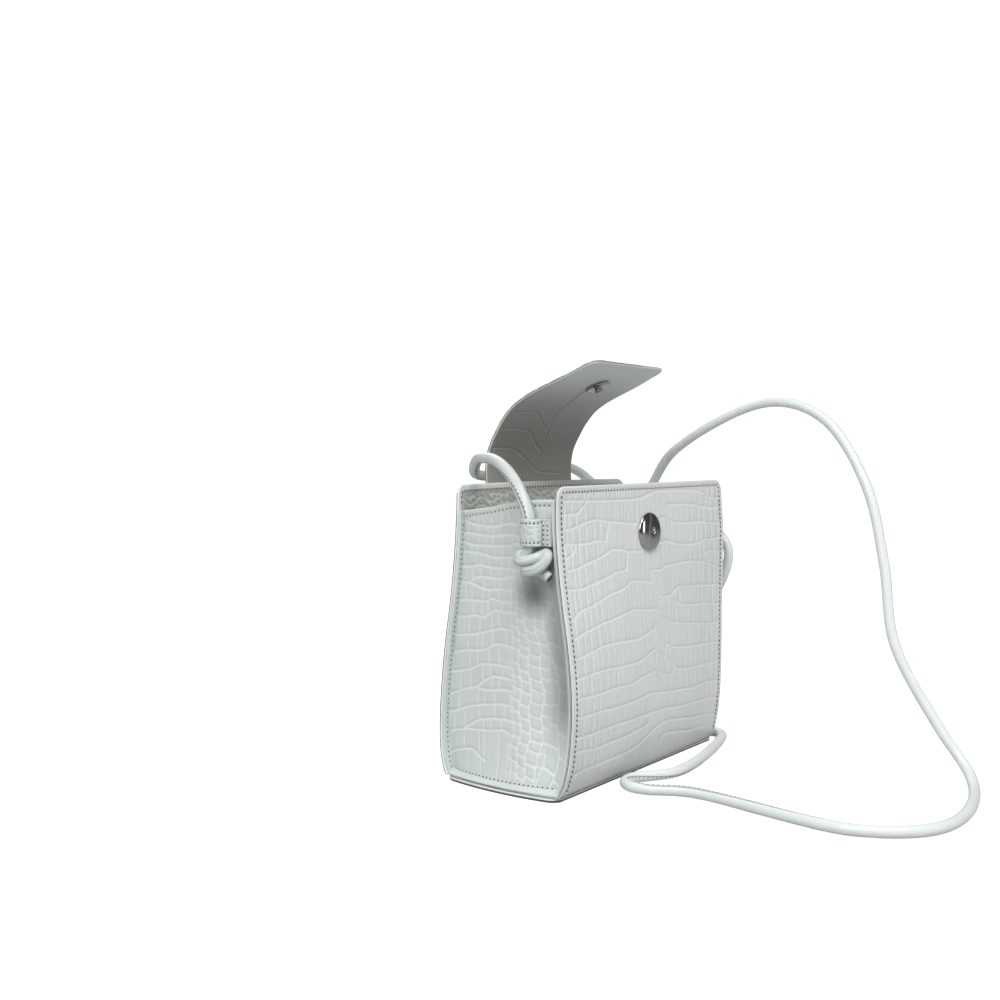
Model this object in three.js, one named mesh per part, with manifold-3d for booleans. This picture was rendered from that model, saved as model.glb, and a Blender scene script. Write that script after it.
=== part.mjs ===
import * as THREE from "three";
import { mergeVertices } from "three/addons/utils/BufferGeometryUtils.js";
import Module from "manifold-3d";

const wasm = await Module();
wasm.setup();

// Millimetres, Z up, the front faces -Y, the base rests on Z = 0.
const halfWidth = 85;
const panelTop = 165;
const panelBottom = 2.4;
const panelThick = 1.8;
const panelCorner = 6.5;
const seamGap = 0.3;
const gussetThick = 1.5;
const flangeWide = 6;
const flangeEdge = 0.6;
const hemTall = 3.2;
const hemExtra = 0.6;
const baseThick = 2.1;
const baseFront = -38;
const baseBack = 38.5;
const baseBow = 4;
const baseCorner = 6;
const backBow = 12;
const flapHalf = 43;
const flapThick = 1.8;
const flapCorner = 7;
const flapShift = -3;
const lapBottom = 128;
const cordRadius = 3;
const cordSteps = 80;
const cordSides = 8;
const cordX = 87.5;
const cordY = -22.6;
const keeperY = -23.6;
const keeperTop = 148.2;
const keeperBottom = 133.9;
const keeperHalfDeep = 6.2;
const keeperHalfOut = 4.8;
const keeperWall = 1.3;
const keeperTail = { thick: 2.4, long: 6.4, turn: 0.12 };
const knotY = -25.2;
const knotZ = 124;
const snapZ = 137.3;
const snapRadius = 11.5;
const snapSeat = 0.45;
const studRow = 8;
const studRadius = 7.4;

// Outer faces of the panels: height, front at the left edge, front at the right edge, back.
const panelProfile = [
  { z: 2.4, left: -38.6, right: -38.2, back: 38.8 },
  { z: 6, left: -41.4, right: -39.6, back: 40.6 },
  { z: 13, left: -44.2, right: -41.2, back: 42.2 },
  { z: 22, left: -46.2, right: -42.6, back: 43 },
  { z: 34, left: -47.6, right: -43.6, back: 42.9 },
  { z: 48, left: -48.3, right: -44.1, back: 42 },
  { z: 64, left: -47.8, right: -44.2, back: 40.4 },
  { z: 83, left: -45.8, right: -44.2, back: 37.8 },
  { z: 101, left: -43, right: -44.6, back: 34.8 },
  { z: 119, left: -40.6, right: -45, back: 32.4 },
  { z: 136, left: -39, right: -45.1, back: 30.8 },
  { z: 150, left: -38.5, right: -44.4, back: 29.9 },
  { z: 165, left: -39.2, right: -43.4, back: 29.5 },
];

// How far the side wall lies in from the panel edges, by height, at shares of the way from back to front.
const wallShares = [0, 0.1, 0.25, 0.42, 0.58, 0.7, 0.8, 0.9, 1];
const wallInset = [
  { z: 3.1, inset: [6, 2.6, 0.2, -1.2, -1.2, -0.4, 0.8, 2.8, 6] },
  { z: 12, inset: [6, 3.4, 1.6, 0.6, 0.6, 1.6, 3.4, 6, 7] },
  { z: 24, inset: [6, 4, 2.6, 1.8, 1.8, 3.6, 6.8, 9.6, 9] },
  { z: 40, inset: [6, 4.4, 3.2, 2.4, 2.8, 5.8, 9.6, 12, 10.5] },
  { z: 60, inset: [6, 4.6, 3.6, 3, 3.8, 7, 10.4, 12.6, 10.5] },
  { z: 82, inset: [6, 4.8, 4, 3.6, 4.4, 6.8, 9.6, 11.6, 9.6] },
  { z: 104, inset: [6, 5, 4.4, 4, 4.2, 5.4, 7.4, 9.6, 8.6] },
  { z: 124, inset: [6, 5, 4.4, 3.9, 3.6, 3.8, 4.8, 7, 7.4] },
  { z: 141, inset: [6, 5, 4.2, 3.7, 3.3, 3.3, 3.4, 4.6, 6.4] },
  { z: 158, inset: [6, 5, 4.4, 4, 3.6, 3.5, 3.5, 4.2, 6] },
];
const hemLine = [
  { share: 0, z: 150.8 },
  { share: 0.3, z: 153.2 },
  { share: 0.55, z: 156.2 },
  { share: 0.8, z: 157.9 },
  { share: 1, z: 158.2 },
];

// Open flap above the panel: side edge of its middle surface, and how much its centre stands behind it.
const flapProfile = [
  { y: 40.3, z: 171, camber: 2.4 },
  { y: 39.9, z: 177.5, camber: 1.9 },
  { y: 38.2, z: 185, camber: 1.3 },
  { y: 34, z: 193, camber: 0.8 },
  { y: 29.6, z: 200, camber: 0.5 },
  { y: 22.4, z: 208, camber: 0.3 },
  { y: 15.2, z: 212.8, camber: 0.2 },
  { y: 5, z: 217.6, camber: 0.1 },
  { y: -7, z: 222, camber: 0 },
  { y: -20, z: 227, camber: 0 },
];
const flapTip = { y: -33, z: 232.4 };

// Route of the strap's centre line, from the left keeper to the right keeper.
const strapRoute = [
  [-cordX, cordY, 133.2],
  [-cordX, -22.5, 148.4],
  [-85.8, -15.8, 161.6],
  [-80.5, -3.5, 172.2],
  [-72.5, 13.3, 178.8],
  [-64, 31, 178.8],
  [-55, 41, 171.6],
  [-28, 49.5, 168.5],
  [49, 47, 172.6],
  [97, 45, 151],
  [107, 37, 149],
  [109.5, 27, 153.5],
  [102.5, 0, 183.5],
  [104, -66, 213.2],
  [103, -102, 202.5],
  [97, -131, 163],
  [90.5, -144.5, 118],
  [82.5, -154, 73],
  [79, -180, 30],
  [72, -199, 8],
  [17, -213, 3.4],
  [-19, -206, 3.4],
  [-40, -177, 3.4],
  [-33, -86, 3.4],
  [-42.6, -67, 3.4],
  [-43.6, -57.4, 3.4],
  [-38.2, -50.2, 3.4],
  [-28.6, -49.6, 3.4],
  [-4, -62, 3.4],
  [77, -47.6, 3.4],
  [89.8, -40.8, 3.4],
  [94, -25, 5.4],
  [96, -9, 38],
  [105.8, -37.8, 119],
  [108.6, -10, 145.6],
  [104.8, -9.8, 156],
  [97.8, -14.8, 160.4],
  [90.4, -20.4, 156.4],
  [cordX, cordY, 147.6],
  [cordX, cordY, 133.2],
];

const smooth = (t) => t * t * (3 - 2 * t);

// A smooth curve through the rows of a table, read at one key.
function along(table, key, at, column) {
  const last = table.length - 1;
  const clamped = Math.min(Math.max(at, table[0][key]), table[last][key]);
  let i = 0;
  while (i < last - 1 && table[i + 1][key] < clamped) i += 1;
  const value = (k) => column(table[Math.min(Math.max(k, 0), last)]);
  const place = (k) => table[Math.min(Math.max(k, 0), last)][key];
  const slope = (k) => (value(k + 1) - value(k - 1)) / Math.max(place(k + 1) - place(k - 1), 1e-6);
  const span = place(i + 1) - place(i);
  const t = (clamped - place(i)) / span;
  const rise = t * t * (t - 1) * slope(i + 1) * span + t * (t - 1) * (t - 1) * slope(i) * span;
  return value(i) + (value(i + 1) - value(i)) * smooth(t) + rise;
}

function frontY(x, z) {
  const left = along(panelProfile, "z", z, (row) => row.left);
  const right = along(panelProfile, "z", z, (row) => row.right);
  return left + ((right - left) * (x + halfWidth)) / (2 * halfWidth);
}

function backY(x, z) {
  const bow = backBow * (1 - (x / halfWidth) ** 2) * (z / panelTop) ** 1.2;
  return along(panelProfile, "z", z, (row) => row.back) + bow;
}

// Distance along Y that covers a thickness measured square to the leather.
function acrossY(face, x, z, thick) {
  const rise = (face(x, z + 1) - face(x, z - 1)) / 2;
  return thick * Math.hypot(1, rise);
}

function solidOf(geometry) {
  geometry.deleteAttribute("normal");
  geometry.deleteAttribute("uv");
  const merged = mergeVertices(geometry, 1e-4);
  return new wasm.Manifold(
    new wasm.Mesh({
      numProp: 3,
      vertProperties: merged.attributes.position.array,
      triVerts: new Uint32Array(merged.index.array),
    }),
  );
}

function geometryOf(solid) {
  const mesh = solid.getMesh();
  const geometry = new THREE.BufferGeometry();
  const positions = new THREE.BufferAttribute(new Float32Array(mesh.vertProperties), 3);
  geometry.setAttribute("position", positions);
  geometry.setIndex(new THREE.BufferAttribute(new Uint32Array(mesh.triVerts), 1));
  return geometry;
}

// A closed leather sheet from rows of points on its middle surface.
function sheet(rows, thickAt) {
  const high = rows.length;
  const wide = rows[0].length;
  const pick = (i, j) => rows[Math.min(Math.max(i, 0), high - 1)][Math.min(Math.max(j, 0), wide - 1)];
  const faces = [[], []];
  for (let i = 0; i < high; i += 1) {
    for (let j = 0; j < wide; j += 1) {
      const across = pick(i, j + 1).clone().sub(pick(i, j - 1));
      const down = pick(i + 1, j).clone().sub(pick(i - 1, j));
      const normal = across.cross(down).normalize();
      const [out, into] = thickAt(i, j);
      faces[0].push(pick(i, j).clone().addScaledVector(normal, out));
      faces[1].push(pick(i, j).clone().addScaledVector(normal, -into));
    }
  }
  const count = high * wide;
  const index = [];
  const quad = (a, b, c, d) => index.push(a, b, c, a, c, d);
  for (let i = 0; i < high - 1; i += 1) {
    for (let j = 0; j < wide - 1; j += 1) {
      const a = i * wide + j;
      quad(a, a + 1, a + wide + 1, a + wide);
      quad(count + a, count + a + wide, count + a + wide + 1, count + a + 1);
    }
  }
  const rim = [];
  for (let j = 0; j < wide - 1; j += 1) rim.push(j);
  for (let i = 0; i < high - 1; i += 1) rim.push(i * wide + wide - 1);
  for (let j = wide - 1; j > 0; j -= 1) rim.push((high - 1) * wide + j);
  for (let i = high - 1; i > 0; i -= 1) rim.push(i * wide);
  rim.forEach((a, k) => {
    const b = rim[(k + 1) % rim.length];
    quad(a, count + a, count + b, b);
  });
  const flat = [...faces[0], ...faces[1]].flatMap((p) => [p.x, p.y, p.z]);
  const geometry = new THREE.BufferGeometry();
  geometry.setAttribute("position", new THREE.Float32BufferAttribute(flat, 3));
  geometry.setIndex(index);
  return geometry;
}

// How far a rounded corner draws the side in, at a distance from the end.
const cornerInset = (from, radius) => {
  if (from >= radius) return 0;
  return radius - Math.sqrt(radius * radius - (radius - from) ** 2);
};

function panel(face, outward) {
  const heights = [165, 164.3, 162.8, 160.8, 158.5, 150, 136, 119, 101, 83, 64, 48, 34, 22, 13, 6, 2.4];
  const columns = 14;
  const rows = heights.map((z) => {
    const half = halfWidth - cornerInset(panelTop - z, panelCorner);
    return Array.from({ length: columns + 1 }, (_, j) => {
      const x = half * ((2 * j) / columns - 1) * outward;
      return new THREE.Vector3(x, face(x, z), z);
    });
  });
  return sheet(rows, () => [panelThick, 0]);
}

// One row of the side wall's middle surface: back flange, wall, front flange.
function wallRow(side, heightAt) {
  const reach = panelThick + seamGap + gussetThick / 2;
  const frontAt = (x, z) => frontY(x, z) + acrossY(frontY, x, z, reach);
  const backAt = (x, z) => backY(x, z) - acrossY(backY, x, z, reach);
  const flange = (share, inset) => {
    const x = side * (halfWidth - inset);
    const z = heightAt(share);
    return new THREE.Vector3(x, share === 0 ? backAt(x, z) : frontAt(x, z), z);
  };
  const wall = wallShares.map((share, k) => {
    const z = heightAt(share);
    const x = side * (halfWidth - along(wallInset, "z", z, (row) => row.inset[k]));
    return new THREE.Vector3(x, THREE.MathUtils.lerp(backAt(x, z), frontAt(x, z), share), z);
  });
  const row = [
    flange(0, flangeEdge),
    flange(0, flangeWide / 2),
    ...wall,
    flange(1, flangeWide / 2),
    flange(1, flangeEdge),
  ];
  return side > 0 ? row : row.reverse();
}

function gusset(side) {
  const hemDrops = [0, hemTall / 2, hemTall - 0.05];
  const wallHeights = [141, 132, 124, 114, 104, 93, 82, 71, 60, 50, 40, 32, 24, 17, 12, 7, panelBottom + 0.1];
  const hemAt = (share) => along(hemLine, "share", share, (row) => row.z);
  const hemRow = (drop) => wallRow(side, (share) => hemAt(share) - drop);
  const rows = [
    ...hemDrops.map(hemRow),
    hemRow(hemTall + 0.05),
    ...wallHeights.map((z) => wallRow(side, () => z)),
  ];
  const last = rows[0].length - 1;
  const wall = sheet(rows, (i, j) => {
    const inHem = i < hemDrops.length && j > 2 && j < last - 2;
    return [gussetThick / 2 + (inHem ? hemExtra : 0), gussetThick / 2];
  });

  // The bottom edge turns out and lies on the base.
  const foot = wallRow(side, () => panelBottom + gussetThick / 2).slice(2, -2);
  const outer = (y) => baseEnd(y) - 2 * flangeEdge;
  const inner = foot.map((p) => new THREE.Vector2(side * (Math.abs(p.x) - gussetThick / 2), p.y));
  const edge = foot.map((p) => new THREE.Vector2(side * outer(p.y), p.y)).reverse();
  const outline = new THREE.Shape([...inner, ...edge]);
  const turnedOut = new THREE.ExtrudeGeometry(outline, { depth: gussetThick, bevelEnabled: false });
  turnedOut.translate(0, 0, panelBottom);
  return geometryOf(solidOf(wall).add(solidOf(turnedOut)));
}

// How far the base reaches sideways: its short ends bow out.
function baseEnd(y) {
  const middle = (baseFront + baseBack) / 2;
  const deep = (baseBack - baseFront) / 2;
  return halfWidth + baseBow * (1 - ((y - middle) / deep) ** 2);
}

function basePlate() {
  const middle = (baseFront + baseBack) / 2;
  const deep = (baseBack - baseFront) / 2;
  const steps = 16;
  const right = Array.from({ length: steps + 1 }, (_, k) => {
    const y = middle + deep * Math.sin(Math.PI * (k / steps - 0.5));
    const drawIn = cornerInset(deep - Math.abs(y - middle), baseCorner);
    return new THREE.Vector2(baseEnd(y) - drawIn, y);
  });
  const left = right.map((p) => new THREE.Vector2(-p.x, p.y)).reverse();
  const outline = new THREE.Shape([...right, ...left]);
  return new THREE.ExtrudeGeometry(outline, { depth: baseThick, bevelEnabled: false });
}

function flap() {
  const columns = 10;
  const shares = Array.from({ length: columns + 1 }, (_, j) => (2 * j) / columns - 1);
  const lapHeights = [0, 0.6, 2.4, 7, 17, 27, 35].map((rise) => lapBottom + rise);
  const lap = lapHeights.map((z) => {
    const half = flapHalf - cornerInset(z - lapBottom, flapCorner);
    return shares.map((share) => {
      const x = flapShift + half * share;
      return new THREE.Vector3(x, backY(x, z) + acrossY(backY, x, z, seamGap + flapThick / 2), z);
    });
  });
  const before = flapProfile[flapProfile.length - 1];
  const run = Math.hypot(flapTip.y - before.y, flapTip.z - before.z);
  const tip = [4.6, 2.6, 0.9, 0].map((fromEnd) => ({
    y: THREE.MathUtils.lerp(flapTip.y, before.y, fromEnd / run),
    z: THREE.MathUtils.lerp(flapTip.z, before.z, fromEnd / run),
    camber: 0,
    drawIn: cornerInset(fromEnd, flapCorner),
  }));
  const free = [...flapProfile, ...tip].map(({ y, z, camber, drawIn = 0 }, k, all) => {
    const shift = flapShift * (1 - k / (all.length - 1));
    return shares.map((u) => new THREE.Vector3(shift + (flapHalf - drawIn) * u, y + camber * (1 - u * u), z));
  });
  return sheet([...lap, ...free], () => [flapThick / 2, flapThick / 2]);
}

function tube(points, steps, sides) {
  const path = new THREE.CatmullRomCurve3(points.map((p) => new THREE.Vector3(...p)), false, "centripetal");
  const ring = Array.from({ length: sides }, (_, k) => {
    const angle = (2 * Math.PI * k) / sides;
    return new THREE.Vector2(cordRadius * Math.cos(angle), cordRadius * Math.sin(angle));
  });
  return new THREE.ExtrudeGeometry(new THREE.Shape(ring), { steps, extrudePath: path, bevelEnabled: false });
}

// A leather loop round the strap with a sewn tail that reaches towards the front, about the strap's own line.
function keeper() {
  const tall = keeperTop - keeperBottom;
  const barrel = (deep, out, height) => {
    const cylinder = new THREE.CylinderGeometry(1, 1, height, 24);
    cylinder.rotateX(Math.PI / 2);
    return solidOf(cylinder.scale(out, deep, 1));
  };
  const loop = barrel(keeperHalfDeep, keeperHalfOut, tall);
  const bore = barrel(keeperHalfDeep - keeperWall, keeperHalfOut - keeperWall, 2 * tall);
  const tail = new THREE.BoxGeometry(keeperTail.thick, keeperTail.long, tall);
  tail.rotateZ(keeperTail.turn);
  const back = keeperTail.thick / 2 - keeperHalfOut + seamGap;
  tail.translate(back, keeperTail.long / 4 - keeperHalfDeep - keeperTail.long / 2, 0);
  return geometryOf(loop.add(solidOf(tail)).subtract(bore));
}

// The strap's knotted end: how far its strand lies to the front, out and up from the knot's centre.
const knotStrand = [
  { front: -3, out: 0.2, up: 5.9 },
  { front: -6.2, out: 3.4, up: 4.4 },
  { front: -4.4, out: 6.4, up: 1.8 },
  { front: 1.3, out: 3.4, up: 2.4 },
  { front: 4.4, out: -1, up: 4 },
  { front: 6.9, out: -2.4, up: 5.2 },
  { front: 7.9, out: -0.6, up: 2.8 },
  { front: 6.5, out: 1.9, up: -0.6 },
  { front: 3, out: 4.5, up: -3.2 },
  { front: -1.5, out: 4.5, up: -3.6 },
  { front: -3.1, out: 1.2, up: -3 },
  { front: -0.2, out: -1.4, up: -3.2 },
  { front: 4.2, out: -2.8, up: -5 },
  { front: 8, out: -3.6, up: -7.8 },
];

function knot() {
  const beads = knotStrand.map(({ front, out, up }) =>
    wasm.Manifold.sphere(cordRadius, 8).translate([out, -front, up]),
  );
  const links = beads.slice(1).map((bead, k) => wasm.Manifold.hull([beads[k], bead]));
  return geometryOf(links.reduce((all, link) => all.add(link)));
}

// Snap halves as turned profiles: radius, height above the leather.
const snapSocketProfile = [
  [0, 0],
  [snapRadius, 0],
  [snapRadius, 0.9],
  [snapRadius - 0.8, 1.8],
  [7.4, 2.8],
  [3.6, 2.9],
  [2.9, 2.4],
  [2.6, 1.1],
  [0, 1.1],
];
const snapStudProfile = [
  [0, 0],
  [studRadius, 0],
  [studRadius, 0.7],
  [studRadius - 0.8, 1.1],
  [2.5, 1.1],
  [2.2, 1.6],
  [2.5, 3],
  [1.9, 3.8],
  [0, 3.8],
];

function turned(profile, segments) {
  return new THREE.LatheGeometry(profile.map(([r, h]) => new THREE.Vector2(r, h)), segments);
}

// Sets a turned piece on a surface point with its axis along the surface's normal.
function seat(mesh, point, normal, clear) {
  mesh.quaternion.setFromUnitVectors(new THREE.Vector3(0, 1, 0), normal);
  mesh.position.copy(point).addScaledVector(normal, clear);
}

function frontNormal(x, z) {
  const run = (frontY(x + snapRadius, z) - frontY(x - snapRadius, z)) / (2 * snapRadius);
  const rise = (frontY(x, z + snapRadius) - frontY(x, z - snapRadius)) / (2 * snapRadius);
  return new THREE.Vector3(run, -1, rise).normalize();
}

function flapUnderside(row) {
  const before = flapProfile[row - 1];
  const after = flapProfile[row + 1];
  return new THREE.Vector3(0, after.z - before.z, before.y - after.y).normalize().negate();
}

const leather = { color: 0xdfe4e1, roughness: 0.4 };
const shaded = { color: 0xd3d9d5, roughness: 0.45 };
const metal = { color: 0x9a9da3, roughness: 0.2, metalness: 1 };
const root = new THREE.Group();
root.name = "handbag";
function add(parent, name, geometry, look) {
  const mesh = new THREE.Mesh(geometry, new THREE.MeshStandardMaterial(look));
  mesh.name = name;
  parent.add(mesh);
  return mesh;
}

add(root, "front_panel", panel(frontY, 1), leather);
add(root, "back_panel", panel(backY, -1), leather);
add(root, "base", basePlate(), leather);
add(root, "flap", flap(), leather);
add(root, "strap_cord", tube(strapRoute, cordSteps, cordSides), leather);

for (const [word, side] of [["left", -1], ["right", 1]]) {
  add(root, "gusset_" + word, gusset(side), shaded);
  const sidePieces = new THREE.Group();
  sidePieces.scale.x = side;
  root.add(sidePieces);
  const loop = add(sidePieces, "keeper_" + word, keeper(), leather);
  loop.position.set(cordX, keeperY, (keeperTop + keeperBottom) / 2);
  const end = add(sidePieces, "knot_" + word, knot(), leather);
  end.position.set(cordX, knotY, knotZ);
}

const socket = add(root, "snap_socket", turned(snapSocketProfile, 28), metal);
seat(socket, new THREE.Vector3(0, frontY(0, snapZ), snapZ), frontNormal(0, snapZ), snapSeat);
const stud = add(root, "snap_stud", turned(snapStudProfile, 20), metal);
const studPlace = new THREE.Vector3(0, flapProfile[studRow].y, flapProfile[studRow].z);
seat(stud, studPlace, flapUnderside(studRow), flapThick / 2 + seamGap);

export default root;
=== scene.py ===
import math
import bpy
import numpy as np
from mathutils import Matrix, Vector


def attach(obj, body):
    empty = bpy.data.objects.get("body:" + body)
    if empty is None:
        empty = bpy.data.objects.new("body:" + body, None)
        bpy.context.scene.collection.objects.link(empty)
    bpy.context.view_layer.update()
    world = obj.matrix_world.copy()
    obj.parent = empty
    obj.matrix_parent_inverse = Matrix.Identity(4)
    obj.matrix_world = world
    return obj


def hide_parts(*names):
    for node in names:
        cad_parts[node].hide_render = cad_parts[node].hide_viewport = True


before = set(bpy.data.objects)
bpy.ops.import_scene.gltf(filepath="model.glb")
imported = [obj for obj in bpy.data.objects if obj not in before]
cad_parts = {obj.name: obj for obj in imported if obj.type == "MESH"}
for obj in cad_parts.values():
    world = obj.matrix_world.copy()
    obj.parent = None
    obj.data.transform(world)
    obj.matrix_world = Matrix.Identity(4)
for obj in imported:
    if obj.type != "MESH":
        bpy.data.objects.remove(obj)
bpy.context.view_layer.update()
mm = 0.001
print("frame loaded:", len(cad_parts), "solids")

photoView = {
    "place": (-564, -381, 183),
    "yaw": 51.6,
    "pitch": -2.4,
    "roll": -0.25,
    "lens": 41.33,
    "sensor": 36,
}


def addCamera(view):
    yaw, pitch, roll = (math.radians(view[word]) for word in ("yaw", "pitch", "roll"))
    ahead = Vector((math.sin(yaw) * math.cos(pitch), math.cos(yaw) * math.cos(pitch), math.sin(pitch)))
    right = Vector((math.cos(yaw), -math.sin(yaw), 0))
    turn = Matrix((right, right.cross(ahead), -ahead)).transposed() @ Matrix.Rotation(roll, 3, "Z")
    bpy.ops.object.camera_add(location=Vector(view["place"]) * mm, rotation=turn.to_euler())
    camera = bpy.context.object
    camera.data.lens = view["lens"]
    camera.data.sensor_width = view["sensor"]
    bpy.context.scene.camera = camera


addCamera(photoView)


# shader sums written as plain expressions
class Value:
    def __init__(self, finish, socket):
        self.finish = finish
        self.socket = socket

    def sum(self, word, a, b):
        return self.finish.node("ShaderNodeMath", {"operation": word}, {0: a, 1: b})

    def __add__(self, other):
        return self.sum("ADD", self, other)

    def __radd__(self, other):
        return self.sum("ADD", other, self)

    def __sub__(self, other):
        return self.sum("SUBTRACT", self, other)

    def __rsub__(self, other):
        return self.sum("SUBTRACT", other, self)

    def __mul__(self, other):
        return self.sum("MULTIPLY", self, other)

    def __rmul__(self, other):
        return self.sum("MULTIPLY", other, self)

class Finish:
    def __init__(self, name):
        self.material = bpy.data.materials.new(name)
        self.material.use_nodes = True
        self.tree = self.material.node_tree
        self.shader = self.tree.nodes["Principled BSDF"]

    def node(self, kind, settings=None, sockets=None, out=0):
        made = self.tree.nodes.new(kind)
        for word, setting in (settings or {}).items():
            setattr(made, word, setting)
        for word, value in (sockets or {}).items():
            self.put(made.inputs[word], value)
        return Value(self, made.outputs[out])

    def put(self, socket, value):
        if isinstance(value, Value):
            self.tree.links.new(value.socket, socket)
        else:
            socket.default_value = value

    def mix(self, a, b, share):
        return self.node("ShaderNodeMix", {"data_type": "RGBA"}, {0: share, 6: a, 7: b}, 2)

    def attribute(self, name):
        return self.node("ShaderNodeAttribute", {"attribute_name": name}, {}, "Fac")

    def place(self):
        return self.node("ShaderNodeTexCoord", {}, {}, "Object")

    def noise(self, place, scale, detail=2, roughness=0.5):
        values = {"Vector": place, "Scale": scale, "Detail": detail, "Roughness": roughness}
        return self.node("ShaderNodeTexNoise", {}, values)

    def bump(self, height, strength, deep):
        return self.node("ShaderNodeBump", {}, {"Strength": strength, "Distance": deep, "Height": height})

    def set(self, **values):
        for word, value in values.items():
            self.put(self.shader.inputs[word.replace("_", " ")], value)
        return self.material


# the show value is how far the embossed lines go towards their lighter colour, a painted highlight; the
# darkest colour is painted shade
whiteLeather = {
    "tint": (0.648, 0.686, 0.666, 1),
    "pale": (0.714, 0.741, 0.719, 1),
    "lineHighlight": (0.930, 0.955, 0.940, 1),
    "paintedShade": (0.120, 0.122, 0.115, 1),
    "show": 0.64,
    "rough": 0.36,
    "speck": 0.16,
    "mottle": 0.12,
    "coat": 0.22,
    "coatRough": 0.22,
    "ior": 1.48,
    "bump": 0.16,
    "bumpDeep": 0.00025,
    "cloudScale": 34,
    "grainScale": 1500,
    "poreScale": 900,
}
sideLeather = dict(
    whiteLeather,
    tint=(0.606, 0.664, 0.648, 1),
    pale=(0.692, 0.740, 0.709, 1),
    rough=0.4,
)
# a darker copy of the white leather as painted shade where the lamps fall strongest; the end colour is
# painted light further along the strap
strapLeather = dict(
    whiteLeather,
    tint=(0.540, 0.590, 0.572, 1),
    pale=(0.610, 0.655, 0.635, 1),
    end=(0.735, 0.772, 0.752, 1),
    speck=0.02,
    bump=0.08,
)
# a darker copy of the white leather: painted shade for the knots, which face the lamps
knotLeather = dict(
    whiteLeather,
    tint=(0.470, 0.520, 0.502, 1),
    pale=(0.545, 0.590, 0.570, 1),
    bump=0.06,
)
# a darker copy of the side leather: painted shade for the keepers
keeperLeather = dict(
    sideLeather,
    tint=(0.480, 0.538, 0.524, 1),
    pale=(0.566, 0.615, 0.592, 1),
)
# the white leather darkened and greyed: painted shade inside the bag
innerLeather = dict(
    whiteLeather,
    tint=(0.430, 0.455, 0.405, 1),
    pale=(0.590, 0.615, 0.565, 1),
    lineHighlight=(0.930, 0.955, 0.900, 1),
    show=0.78,
    rough=0.34,
    coat=0.35,
    bump=0.35,
)
# near black: painted shade, whose rolled edge draws the dark line where the base meets the floor
soleLeather = dict(
    innerLeather,
    tint=(0.060, 0.062, 0.058, 1),
    pale=(0.100, 0.100, 0.095, 1),
)
# the white leather darkened as painted shade under the flap; the end colour is a painted sheen towards the
# free end
flapUnderLeather = dict(
    whiteLeather,
    tint=(0.300, 0.295, 0.277, 1),
    pale=(0.360, 0.353, 0.332, 1),
    lineHighlight=(0.520, 0.515, 0.488, 1),
    end=(0.750, 0.785, 0.790, 1),
    rough=0.5,
    coat=0.05,
    bump=0.25,
)
leathers = {
    "white": whiteLeather,
    "side": sideLeather,
    "strap": strapLeather,
    "knot": knotLeather,
    "keeper": keeperLeather,
    "inner": innerLeather,
    "sole": soleLeather,
    "flapUnder": flapUnderLeather,
}


def leatherFinish(name, look):
    finish = Finish(name)
    place = finish.place()
    cloud = finish.noise(place, look["cloudScale"], 4, 0.6)
    grain = finish.noise(place, look["grainScale"], 3)
    nearest = {"feature": "DISTANCE_TO_EDGE"}
    pores = finish.node("ShaderNodeTexVoronoi", nearest, {"Vector": place, "Scale": look["poreScale"]})
    colour = finish.mix(look["tint"], look["pale"], cloud)
    # painted light: towards the end colour where the reach attribute rises
    if "end" in look:
        colour = finish.mix(colour, look["end"], finish.attribute("reach"))
    # painted highlight along the lines
    colour = finish.mix(colour, look["lineHighlight"], finish.attribute("groove") * look["show"])
    # painted shade, as marked on each piece
    colour = finish.mix(colour, look["paintedShade"], finish.attribute("paintedShade"))
    rough = look["rough"] + (grain - 0.5) * look["speck"] + (cloud - 0.5) * look["mottle"]
    return finish.set(
        Base_Color=colour,
        Roughness=rough,
        Normal=finish.bump(grain * 0.6 + pores * 0.8, look["bump"], look["bumpDeep"]),
        Coat_Weight=look["coat"],
        Coat_Roughness=look["coatRough"],
        IOR=look["ior"],
    )


threadLook = {
    "dark": (0.60, 0.63, 0.60, 1),
    "light": (0.78, 0.80, 0.77, 1),
    "scale": 2600,
    "detail": 1,
    "rough": 0.75,
}
# near black: painted shade standing in for the needle holes; closeRim also puts it on the edges of the
# panels and the flap
needleHoleLook = {
    "dark": (0.030, 0.030, 0.028, 1),
    "light": (0.110, 0.108, 0.100, 1),
    "scale": 900,
    "detail": 2,
    "rough": 0.8,
}


def fibreFinish(name, look):
    finish = Finish(name)
    wear = finish.noise(finish.place(), look["scale"], look["detail"])
    return finish.set(Base_Color=finish.mix(look["dark"], look["light"], wear), Roughness=look["rough"])


snapMetalLook = {
    "dark": (0.400, 0.380, 0.365, 1),
    "light": (0.500, 0.480, 0.464, 1),
    "smearScale": 240,
    "fineScale": 3000,
    "rough": 0.07,
    "smear": 0.1,
    "bump": 0.06,
    "bumpDeep": 0.0001,
}


def snapMetalFinish(look):
    finish = Finish("snapMetal")
    place = finish.place()
    smear = finish.noise(place, look["smearScale"], 4)
    fine = finish.noise(place, look["fineScale"])
    return finish.set(
        Base_Color=finish.mix(look["dark"], look["light"], smear),
        Metallic=1.0,
        Roughness=look["rough"] + smear * look["smear"],
        Normal=finish.bump(fine, look["bump"], look["bumpDeep"]),
    )


finishes = {word: leatherFinish(word + "Leather", look) for word, look in leathers.items()}
finishes["thread"] = fibreFinish("thread", threadLook)
finishes["hole"] = fibreFinish("needleHole", needleHoleLook)
finishes["metal"] = snapMetalFinish(snapMetalLook)
print("finishes ready:", len(finishes))


def smooth(t):
    return t * t * (3 - 2 * t)


def ramp(value, low, high):
    return smooth(np.clip((value - low) / (high - low), 0, 1))


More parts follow.
